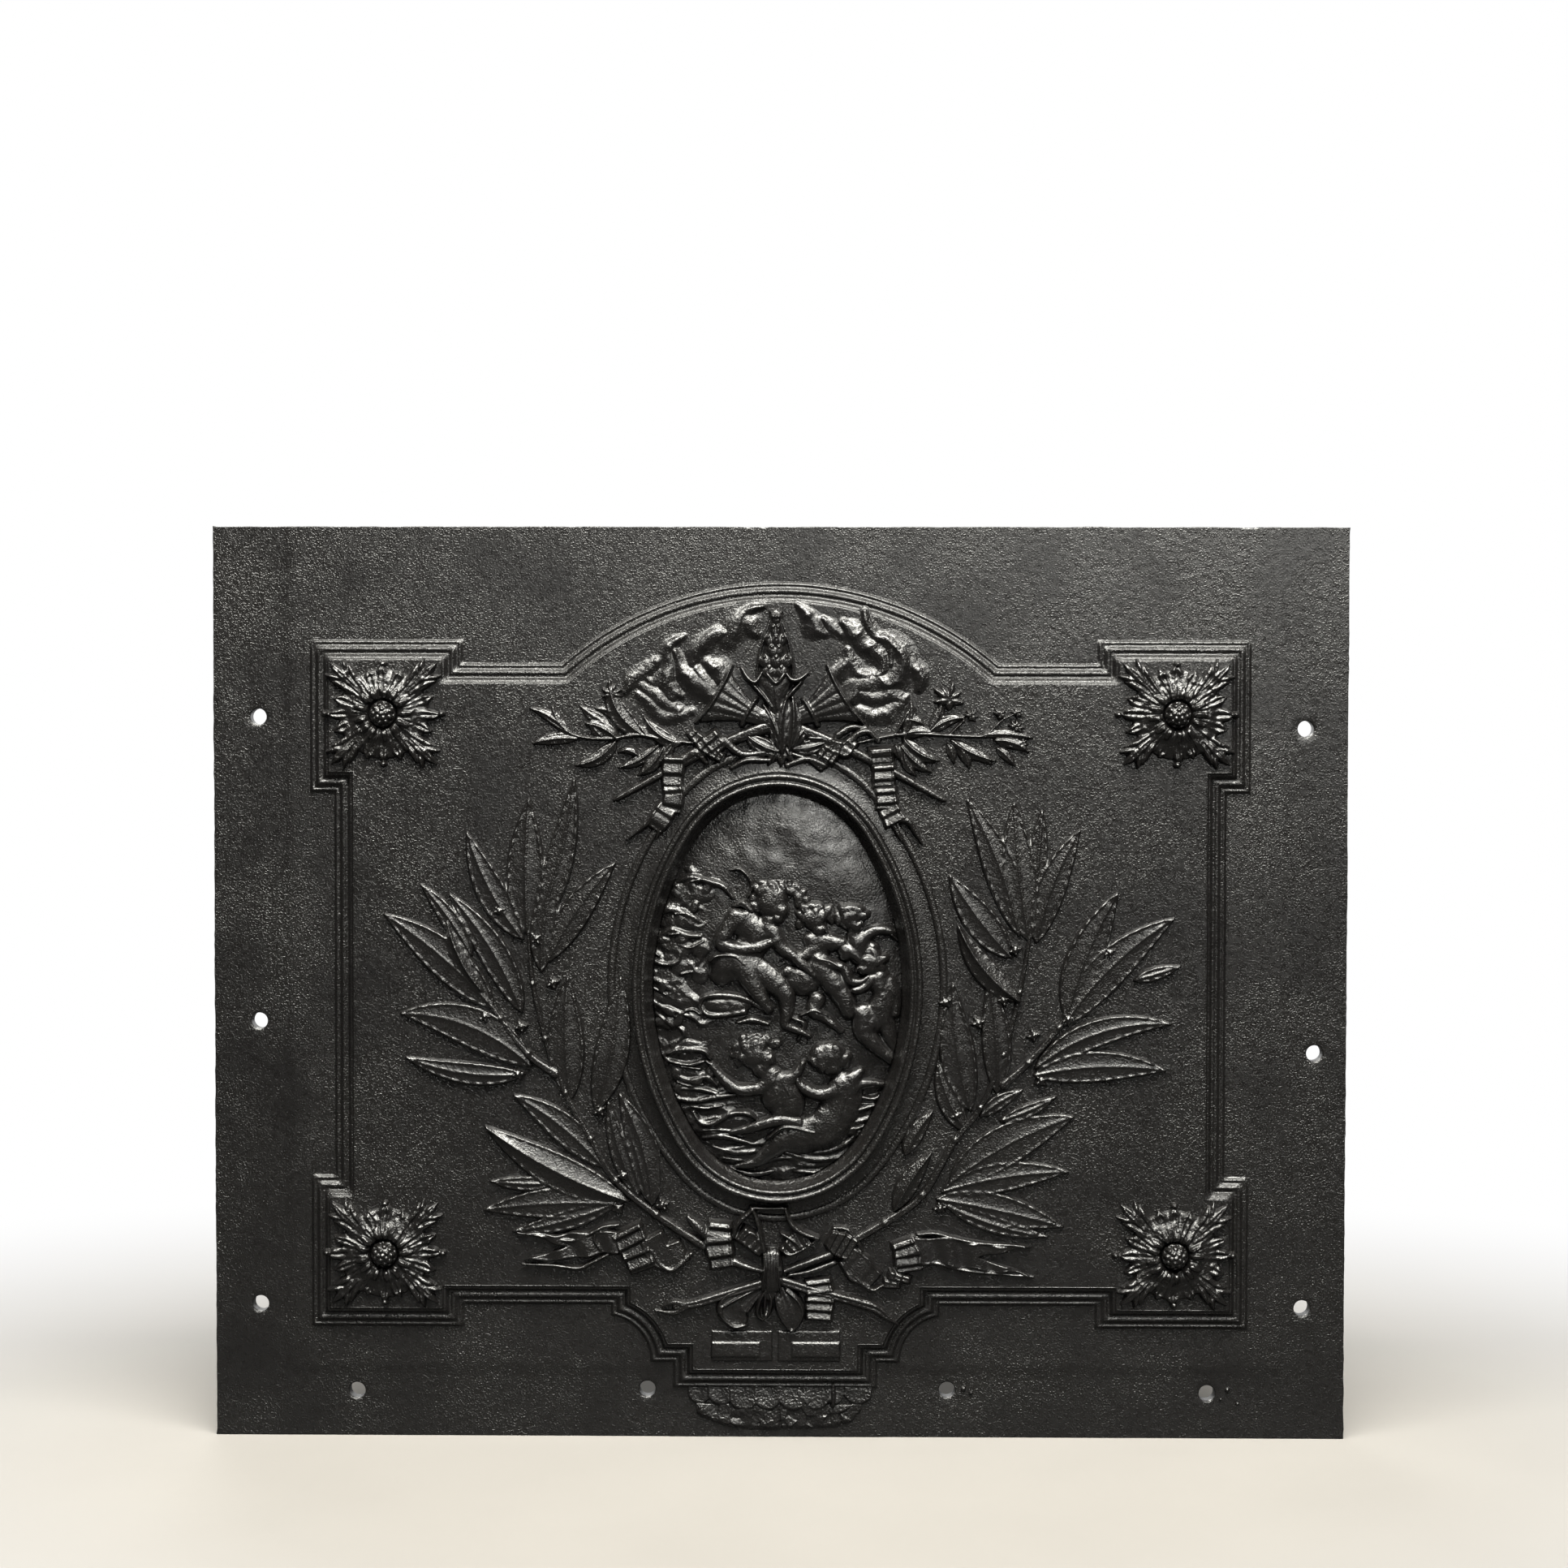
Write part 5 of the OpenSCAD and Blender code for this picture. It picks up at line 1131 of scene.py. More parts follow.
def rosette(corner, seed):
    """The rosette of one corner, and its boss."""
    cx, cz = ROSETTES[corner]
    dice = np.random.default_rng(seed)
    board = Board(cx - 54, cx + 54, cz - 54, cz + 54, 0.45)
    dx, dz = board.x - cx, board.z - cz
    r = np.hypot(dx, dz)

    def spokes(degrees, *points, **shape):
        """A rod through points given as sideways shift, distance, half width and height."""
        t = math.radians(degrees)
        board.rod([(cx + far * math.cos(t) - aside * math.sin(t),
                    cz + 0.95 * (far * math.sin(t) + aside * math.cos(t)), wide, top)
                   for aside, far, wide, top in points], **shape)

    # pointed leaves in the corners, with lobes at both sides
    for t in (45, 135, 225, 315):
        spokes(t, (0, 13, 1.6, 9), (0, 28, 2.6, 7), (0, 43, 4.4, 7.4), (0, 52, 3.4, 6),
               (0, 59, 0.7, 3), blend=0.8, groove=1.2)
        for s in (-1, 1):
            spokes(t, (s * 3, 16, 1.6, 8), (s * 4.2, 30, 2.6, 6.4), (s * 7, 42, 3.0, 6.2),
                   (s * 10, 48, 0.8, 3.6), blend=0.6)
            spokes(t, (s * 2, 42, 2.4, 5.6), (s * 6.5, 49, 2.6, 5.8),
                   (s * 9.5, 54 + dice.uniform(-1, 1), 0.8, 3.4), blend=0.6)
    # broad leaves: a web, and on it cupped lobes that stand high round the boss and curl up again
    # at their tips
    for k in range(4):
        off = np.abs((np.degrees(np.arctan2(dz, dx)) - 90 * k + 180) % 360 - 180)
        web = np.interp(r, [11, 16, 26, 35, 36], [4, 7.6, 5.6, 2.4, -1])
        board.lay(np.where(off < 40, web, web - (off - 40) * r / 20))
        for turn, reach in ((-33, 37.5), (-17, 40.5), (0, 43), (17, 40.5), (33, 37.5)):
            reach = (reach - 3 * (k % 2)) + dice.uniform(-1.2, 1.2)
            wide = 4.7 * dice.uniform(0.8, 1.15)
            lean, high = 0.12 * turn + dice.uniform(-1.2, 1.2), dice.uniform(-0.7, 0.7)
            spokes(90 * k + turn, (0, 13.5, 0.5 * wide, 8.6), (0, 19, 0.7 * wide, 9.6 + high),
                   (0.3 * lean, 26, 0.95 * wide, 6.8 + high),
                   (0.7 * lean, 33, 1.1 * wide, 5.6 + high),
                   (lean, reach - 3, 0.85 * wide, 6.4 + high), (lean, reach, 1.4, 4.4),
                   bulge=2.2, base=1.2, groove=2.0)
        t, far = math.radians(90 * k), 41.5 if k % 2 else 46
        board.bulb(cx + far * math.cos(t), cz + 0.95 * (far * math.sin(t)), 3.0, 2.6, 5.8,
                   blend=0.8)
    # a crown of small petals round the boss
    for k in range(13):
        t = 27.7 * k + dice.uniform(-5, 5)
        spokes(t, (0, 12, 1.8, 9.5), (0, 16.5, 2.9, 12.0 + dice.uniform(-0.6, 0.6)),
               (0, 21.5, 2.0, 9.8), base=4, blend=0.5, groove=1.2)
    # the trough round the boss
    board.h = np.minimum(board.h, 3.4 + STEEP * np.clip(r - 11.0, -0.4, 9))
    board.h[r < 9] = np.maximum(board.h[r < 9], 0.3)
    rough = 0.8 * lumps(board.x, board.z, 5.5, seed) + 0.5 * lumps(board.x, board.z, 2.8, seed + 9)
    board.h = np.where(board.h > 1, board.h + rough, board.h)
    board.cast("rosette_" + corner, rough=0.16, soft=2)

    # the boss: a collar, a groove, and a dome set with pearls
    board = Board(cx - 14, cx + 14, cz - 14, cz + 14, 0.4)
    r = np.hypot(board.x - cx, board.z - cz)
    board.h = np.where(r < 10.6, 5.2 + 2.4 * np.sqrt(np.clip(1 - ((r - 9.4) / 1.4) ** 2, 0, 1)),
                       5.2 - STEEP * (r - 10.6))
    board.h = np.where(r < 8.4, 7 + 7.0 * np.sqrt(np.clip(1 - (r / 8.6) ** 2, 0, 1)), board.h)
    board.h = np.where((r > 8.0) & (r < 8.9), np.minimum(board.h, 5.2), board.h)
    for ring, count in ((0, 1), (3.6, 5), (6.6, 9)):
        for k in range(count):
            t = math.tau * (k + 0.4 * (ring > 5)) / count + 0.2 * seed
            top = 7.4 + 7.0 * math.sqrt(1 - (ring / 8.8) ** 2) + 0.85
            board.bulb(cx + ring * math.cos(t), cz + ring * math.sin(t), 1.8, 1.8,
                       min(top, 15.8), base=top - 1.7, blend=0.2)
    board.cast("rosette_boss_" + corner)


for seed, corner in enumerate(ROSETTES, 70):
    rosette(corner, seed)

# ---------------------------------------------------------------- crest
# Two torches crossed behind a tuft of leaves, their fluted mouths upward, with a pine cone in a
# cup between them. Flames blow outward in curls, sprays of leaves and flowers lie below them, and
# a ribbon ties the torches and hangs down on both sides of the medallion.

# the shaft from its foot to the neck, then the flared, fluted mouth, seen from the side
SHAFT = [(131, 508.5, 1.6, 4.4), (124, 512, 2.6, 5.4), (95, 528, 3.4, 6.0), (60, 546, 4.2, 6.4),
         (28, 560, 5.2, 6.8), (2, 569, 6.4, 7.2), (-14, 574, 7.2, 7.8)]
MOUTH = [(-6, 571, 6.5, 7.0), (-24, 578, 9.0, 8.2), (-36, 584, 14.5, 9.2), (-46, 589, 20.5, 9.8),
         (-52, 592, 24.5, 9.6)]
RIM = [(-38, 615, 1.2, 9.0), (-43, 603, 1.8, 11.4), (-54, 584, 1.9, 11.6), (-66, 570, 1.2, 9.0)]
COLLAR = [(-19, 588, 1.5, 9.6), (-25, 578, 1.9, 10.6), (-30, 568, 1.5, 9.2)]


for side in (1, -1):
    board = Board(*sorted((-72 * side, 134 * side)), 502, 622, 0.55)
    shaft, mouth, rim, collar = ([(side * x, *more) for x, *more in run]
                                 for run in (SHAFT, MOUTH, RIM, COLLAR))
    board.rods([shaft], groove=0.5)
    here, t, _, d, (w, top) = board.along(curve(placed(mouth)), 30)
    u = np.clip(np.abs(d) / w, 0, 1)
    flutes = 0.9 * np.abs(np.cos(2.5 * math.pi * d / w)) * np.clip(t * 1.6, 0, 1)
    h = (top - 2.5) * np.sqrt(1 - 0.8 * u * u) + 1.6 + flutes
    board.lay(np.where((np.abs(d) < w) & (t < 0.999), h, -9), here)
    board.rods([rim], base=3.0)
    board.rods([collar], base=4.0)
    board.cast("torch_right" if side > 0 else "torch_left")

FLAMES = {
    "left": [
        [(-52, 590, 4, 8), (-61, 599, 5.2, 9), (-72, 606, 4.6, 9), (-79, 615, 3.2, 8),
         (-83, 626, 1.2, 6)],
        [(-44, 602, 3.4, 7.4), (-50, 611, 4.4, 8.4), (-57, 617, 2, 7)],
        [(-70, 616, 2.2, 6), (-66, 627, 3.4, 7.4), (-58, 635, 3.2, 7.4), (-49, 640, 2.8, 7),
         (-40, 641, 1, 5)],
        [(-40, 634, 3, 6), (-35, 645, 4.2, 7.4), (-30, 655, 2.8, 7), (-22, 660, 1.6, 5.8),
         (-13, 662, 0.7, 4.4)],
        [(-29, 656, 1, 5), (-25, 648, 4, 7), (-19, 640, 1.6, 5)],
        [(-86, 590, 2.2, 6), (-90, 602, 3.4, 7.6), (-87, 614, 3.2, 7.6), (-90, 625, 2.8, 7),
         (-85, 633, 2, 6), (-76, 638, 0.8, 4.4)],
        [(-78, 591, 1, 5), (-84, 594, 3, 7.2), (-90, 601, 3.2, 7.4)],
        [(-123, 594, 1, 4), (-116, 604, 3, 5.8), (-106, 611, 3, 6), (-97, 618, 2.4, 5.6),
         (-89, 626, 1, 4.4)],
        [(-110, 600, 2, 4.4), (-99, 592, 3.4, 5.4), (-90, 584, 3.4, 5.6), (-80, 579, 2, 5)],
        [(-112, 592, 1.6, 3.8), (-104, 586, 2.6, 4.6), (-94, 576, 3, 5.2), (-82, 575, 2.4, 5),
         (-70, 578, 1.4, 4.6)],
        [(-66, 612, 2, 6.6), (-61, 604, 3, 7.6), (-54, 596, 2, 7)],
        [(-106, 606, 1, 3.8), (-100, 602, 2.2, 4.8), (-95, 610, 1, 4.2)]],
    "right": [
        [(58, 588, 3, 7), (62, 599, 4.4, 8.2), (75, 600.5, 5, 8.8), (89, 604, 5, 9),
         (96, 613, 4.8, 9), (96, 625, 4.4, 8.8), (88, 633, 3.8, 8), (77, 638, 2.2, 6.6),
         (69, 648, 1.8, 6), (67, 658, 0.7, 4.4)],
        [(50, 649, 1.4, 5), (57, 643, 3.8, 7.6), (66, 633, 3.8, 8), (75, 627, 3.8, 8.4),
         (82, 620, 3.4, 8.4), (82, 611, 2.6, 7.6), (77, 607, 1.4, 6.4)],
        [(54, 628, 1.2, 4.6), (57, 617, 3, 6.4), (62, 609, 3, 7), (70, 606, 2, 6.4)],
        [(36, 640, 1.2, 5), (28, 645, 4, 7.2), (22, 655, 2.4, 6.4), (14, 663, 0.8, 4.4)],
        [(104, 622, 1, 4), (107, 613, 3, 6.2), (112, 605, 3, 6.4), (110, 596, 1, 4.4)],
        [(60, 594, 3, 5.6), (74, 590, 4.4, 6.4), (88, 593, 4, 6.4), (98, 587, 1.4, 4.4)],
        [(62, 580, 3, 5), (76, 575, 3.6, 5.6), (90, 580, 3.2, 5.4), (100, 590, 1, 4)],
        [(40, 604, 2, 6.4), (49, 611, 3.2, 7.4), (56, 622, 1.2, 5.4)],
        [(84, 634, 1.6, 6.4), (88, 626, 2.4, 8.4), (88, 616, 2, 8)],
        [(48, 640, 1.6, 4.6), (40, 646, 2.4, 5.6), (34, 652, 1, 4.4)]]}
for side, edges in (("left", (-128, -8)), ("right", (8, 118))):
    board = Board(*edges, 568, 668, 0.5)
    for run in FLAMES[side]:
        here, _, _, d, (w, top) = board.along(curve(placed(run)), 14)
        board.lay(0.60 * top * np.exp(-(d / (1.5 * w + 1.0)) ** 2) - 0.3, here)
    smoke = 1.2 * (0.7 - 2 * np.abs(lumps(board.x, board.z, 12, 31)))
    board.h = board.h + smoke * np.clip(board.h / 4, 0, 1)
    board.cast("flame_" + side, IRON, rough=0.2, soft=2)

# the pine cone, its scales in rows that swing left and right, and two long leaves beside it
board = Board(-26, 20, 598, 664, 0.45)
board.rods([[(-4, 606, 13.5, 8.0), (-3.5, 618, 12.6, 9.6), (-3, 634, 8.8, 9.4), (-3, 648, 5.2, 8),
             (-3, 659, 1.2, 5)]], bulge=2.4)
for row in range(6):
    z, spread = 610 + 8.0 * row, 12.4 - 2.0 * row
    for k in (-1, 0, 1) if row % 2 else (-0.5, 0.5):
        x, lift = -3.3 + 0.78 * spread * k, 11.4 - 0.7 * abs(row - 2) - 1.5 * abs(k)
        cx, cz = placed((x + dice.uniform(-0.8, 0.8), z))
        board.bulb(cx, cz, 0.46 * spread, 5.2, lift + 1.0, -14 * k, base=lift - 2.2, blend=0.4)
        board.bulb(cx + 0.6 * k, cz + 3.4, 1.5, 1.9, lift + 1.6, 0, base=lift - 1.2, blend=0.5)
board.rods([[(-3.6 + side * 14.5, 606, 1.2, 7.5), (-3.4 + side * 12.8, 622, 1.4, 8.4),
             (-3 + side * 7.6, 642, 1.2, 7.6), (-3 + side * 1.5, 658, 0.9, 5.2)]
            for side in (-1, 1)], base=2)
board.cast("pine_cone")

# the cup it stands in, a bud with a rim of curled lobes and three ribs
board = Board(-36, 30, 572, 616, 0.5)
board.rods([[(-3, 576, 5, 6.5), (-4, 588, 8, 8), (-4, 598, 13, 8.6), (-4, 603, 16, 8)]], bulge=2.2)
board.rods([
    [(-30, 613, 1, 7), (-25, 605, 2.2, 9.6), (-19, 602, 2.2, 10), (-13, 611, 1, 8)],
    [(-13, 612, 1, 9), (-8, 606, 2.2, 11), (-3, 601, 2.4, 11), (2, 606, 2.2, 11),
     (5, 612, 1, 8.6)],
    [(4, 611, 1, 8.6), (9, 604, 2.2, 10.4), (15, 604, 2.2, 9.8), (22, 609, 1, 7)],
    [(-24, 603, 1.2, 7), (-14, 592, 1.6, 9), (-6, 582, 1.4, 8)],
    [(17, 602, 1.2, 7), (8, 592, 1.6, 9), (2, 582, 1.4, 8)],
    [(-4, 600, 1.2, 9.6), (-3, 590, 1.5, 9.6), (-2, 580, 1.4, 8.4)]], base=3.0, blend=0.4)
board.cast("cone_calyx")

# the tuft of pointed leaves where the torches cross, and its gathered foot
board = Board(-44, 46, 532, 596, 0.5)
for i, (*one, rise) in enumerate([
        ((0, 547), (-28, 562), 11, 0.08, 2.0, 5.5), ((10, 549), (40, 556), 10, -0.06, 1.6, 5.0),
        ((22, 558), (38, 557), 5, 0, 1.2, 5.5), ((2, 546), (-13, 584), 10, -0.06, 2.6, 6.5),
        ((12, 552), (21, 566), 8, 0.05, 2.0, 6.5), ((8, 548), (10, 591), 11, -0.05, 3.0, 7.5),
        ((2, 545), (6, 592), 10, 0.06, 3.0, 8.0)]):
    leaf(board, *one, rise=rise, rim=0.7, seed=i)
for one in [
        ((-2, 550), (-9, 536), 5, 0, 1.4), ((2, 550), (1, 535), 5, 0, 1.4),
        ((5, 550), (11, 537), 5, 0, 1.4)]:
    leaf(board, *one, rise=5, rim=0.5)
board.cast("crest_leaves")

# sprays: leaves as base, tip, width, bow, fold and rise, twigs as rods, flower heads as place,
# size and height
SPRAYS = {
    "left": dict(
        leaves=[
            ((-108, 560), (-135, 603), 15, 0.14, 2.4, 5.0),
            ((-116, 566), (-146, 581), 10, -0.1, 1.6, 3.6),
            ((-78, 553), (-107, 574), 10, 0.12, 2.4, 5.6),
            ((-104, 558), (-112, 568), 6, 0, 1.4, 5.0),
            ((-128, 556), (-154, 569), 10, -0.1, 3.0, 4.6),
            ((-130, 555), (-162, 536), 10, 0.12, 3.0, 4.4),
            ((-96, 552), (-128, 534), 7, 0.08, 2.0, 4.4),
            ((-112, 543), (-128, 546), 4, -0.2, 1.4, 4.8),
            ((-92, 550), (-112, 528), 9, 0.08, 2.6, 4.8),
            ((-86, 550), (-98, 536), 8, 0.05, 2.2, 5.0),
            ((-84, 556), (-94, 541), 7, 0.0, 2.0, 5.0),
            ((-164, 560), (-180, 583), 7, 0.12, 1.8, 3.6),
            ((-168, 562), (-198, 581), 7, -0.08, 1.8, 3.6),
            ((-160, 557), (-196, 553), 8, -0.05, 2.0, 3.8),
            ((-134, 568), (-158, 583), 8, 0.05, 1.2, 2.8),
            ((-140, 558), (-150, 570), 6, 0.05, 2.0, 4.4)],
        twigs=[
            [(-62, 553, 1.6, 5.6), (-90, 556, 1.7, 5.6), (-112, 560, 1.7, 5.4),
             (-134, 557, 1.6, 5.2), (-156, 558, 1.5, 4.6), (-172, 564, 1.2, 4.2),
             (-186, 573, 0.8, 3.4)],
            [(-112, 560, 1.5, 5), (-120, 568, 1.5, 5), (-126, 580, 1.2, 5),
             (-128, 592, 0.8, 4.4)]],
        flowers=[(-133, 592, 7, 5.4)]),
    "right": dict(
        leaves=[
            ((98, 556), (104, 586), 8, -0.08, 2.0, 5.2),
            ((101, 572), (114, 568), 7, 0.1, 2.2, 5.0), ((96, 560), (122, 562), 8, 0.08, 2.0, 5.0),
            ((118, 562), (146, 574), 8, 0.1, 1.8, 4.6),
            ((118, 564), (128, 586), 7, -0.1, 1.8, 4.4),
            ((136, 556), (171, 540), 8, -0.06, 2.6, 4.4), ((152, 549), (168, 537), 6, 0, 1.8, 4.0),
            ((140, 552), (150, 534), 7, 0.1, 2.2, 4.4),
            ((133, 553), (138, 538), 5, 0.05, 1.4, 3.8),
            ((98, 557), (126, 540), 10, -0.1, 3.0, 5.2),
            ((96, 552), (120, 531), 8, -0.08, 2.6, 5.2),
            ((98, 548), (108, 528), 6, -0.1, 2.0, 4.6), ((92, 552), (96, 540), 6, 0, 1.8, 5.0),
            ((170, 556), (197, 547), 8, 0.1, 2.2, 4.0),
            ((172, 550), (186, 536), 6, 0.05, 1.6, 3.4),
            ((160, 560), (200, 558), 6, 0.05, 2.0, 4.0)],
        twigs=[
            [(62, 554, 1.6, 5.6), (90, 560, 1.7, 5.6), (112, 561, 1.7, 5.4), (134, 560, 1.6, 5),
             (160, 559, 1.4, 4.4), (190, 560, 1, 3.6)],
            [(90, 559, 1.4, 5.4), (97, 570, 1.6, 5.8), (101, 578, 1, 5)],
            [(134, 560, 1.2, 4.6), (146, 572, 1.2, 4.6)],
            [(164, 560, 1.1, 4.2), (176, 572, 1, 4.2), (186, 577, 0.8, 3.6)]],
        flowers=[
            (134, 588, 11, 6.0), (151, 575, 5, 5.4), (174, 576, 5, 5.2), (187, 566, 5.5, 5.2),
            (188, 577, 4, 5.0), (192, 553, 4, 4.6)])}
for side, spray in SPRAYS.items():
    board = Board(*((-204, -58) if side == "left" else (56, 206)), 522, 610, 0.5)
    for i, (*one, rise) in enumerate(spray["leaves"]):
        leaf(board, *one, rise=rise * 0.72, rim=0.6, seed=i)
    board.rods(spray["twigs"])
    for x, z, r, top in placed(spray["flowers"]):
        first = 90 if abs(x) < 150 else 60 if x > 0 else 120
        for k in range(6):
            a = math.radians(first - 100 + 40 * k + dice.uniform(-9, 9))
            far = r * dice.uniform(0.85, 1.2)
            u, v = math.cos(a), math.sin(a)
            board.rod([(x, z, 0.24 * r, top - 1),
                       (x + 0.55 * far * u, z + 0.55 * far * v, 0.28 * r, top),
                       (x + far * u, z + far * v, 0.14 * r, top - 1.4)],
                      bulge=1.7, base=1.0, blend=0.5)
        board.bulb(x, z - 0.3 * r, 0.3 * r, 0.4 * r, top - 0.4, base=2.0, blend=0.5)
    board.cast("spray_" + side)

# ---------------------------------------------------------------- ribbons and bow
# Flat ribbons about 15 mm wide, pleated into steps that turn up to the light, with rolled ends
# and forked tails. Below the medallion they are tied in a bow over the crossed laurel stems,
# whose cut ends stick out under the knot like spear points.


def band(board, points, ripple=0.0, pitch=9.0, phase=0.0):
    """A ribbon through points of (x, z, half width, height), with ripples of this height across
    it every pitch millimetres. A pitch over 20 makes a loose tail, waved and forked at its end;
    a ribbon seen edge on is a thin rod."""
    line = placed(points)
    if ripple == 0 and line[:, 2].max() < 4.5:
        board.rod(line, bulge=2.2, blend=0.5)
        return
    fork = pitch if pitch > 20 else 0
    if ripple and not fork:
        fine = [a + (b - a) * t for a, b in zip(line[:-1], line[1:]) for t in (0, 0.25, 0.5, 0.75)]
        line = np.array(fine + [line[-1]])
    else:
        line = curve(line, 3.0)
    here, _, gone, d, (w, top) = board.along(line, line[:, 2].max() + 4)
    w = w + (0.9 if fork else 0.35) * np.sin(gone / 4.5 + phase * 9 + (d > 0) * 2)
    top = top + (1.3 if fork else 0.4) * np.sin(gone / (3.4 if fork else 5) + 0.10 * d + phase)
    inward = w - np.abs(d)
    wave = (gone / pitch + phase) % 1.0
    steps = ripple * (2 * np.where(wave < 0.72, wave / 0.72, (1 - wave) / 0.28) - 1)
    h = top + steps + 0.5 * np.exp(-((inward - 0.9) / 0.7) ** 2)
    h = np.where(inward > 0, h, top + steps - STEEP * -inward)
    # the start is cut square, and so is the end unless it is forked
    for notch, end, nxt in ((0, line[0], line[1]), (fork, line[-1], line[-2])):
        away = end[:2] - nxt[:2]
        away = away / max(np.hypot(*away), 1e-9)
        past = (board.x[here] - end[0]) * away[0] + (board.z[here] - end[1]) * away[1]
        past = past + notch * np.clip(1 - np.abs(d) / w, 0, 1)
        h = np.where(past > 0, np.minimum(h, top + steps - STEEP * past), h)
    board.lay(h, here)


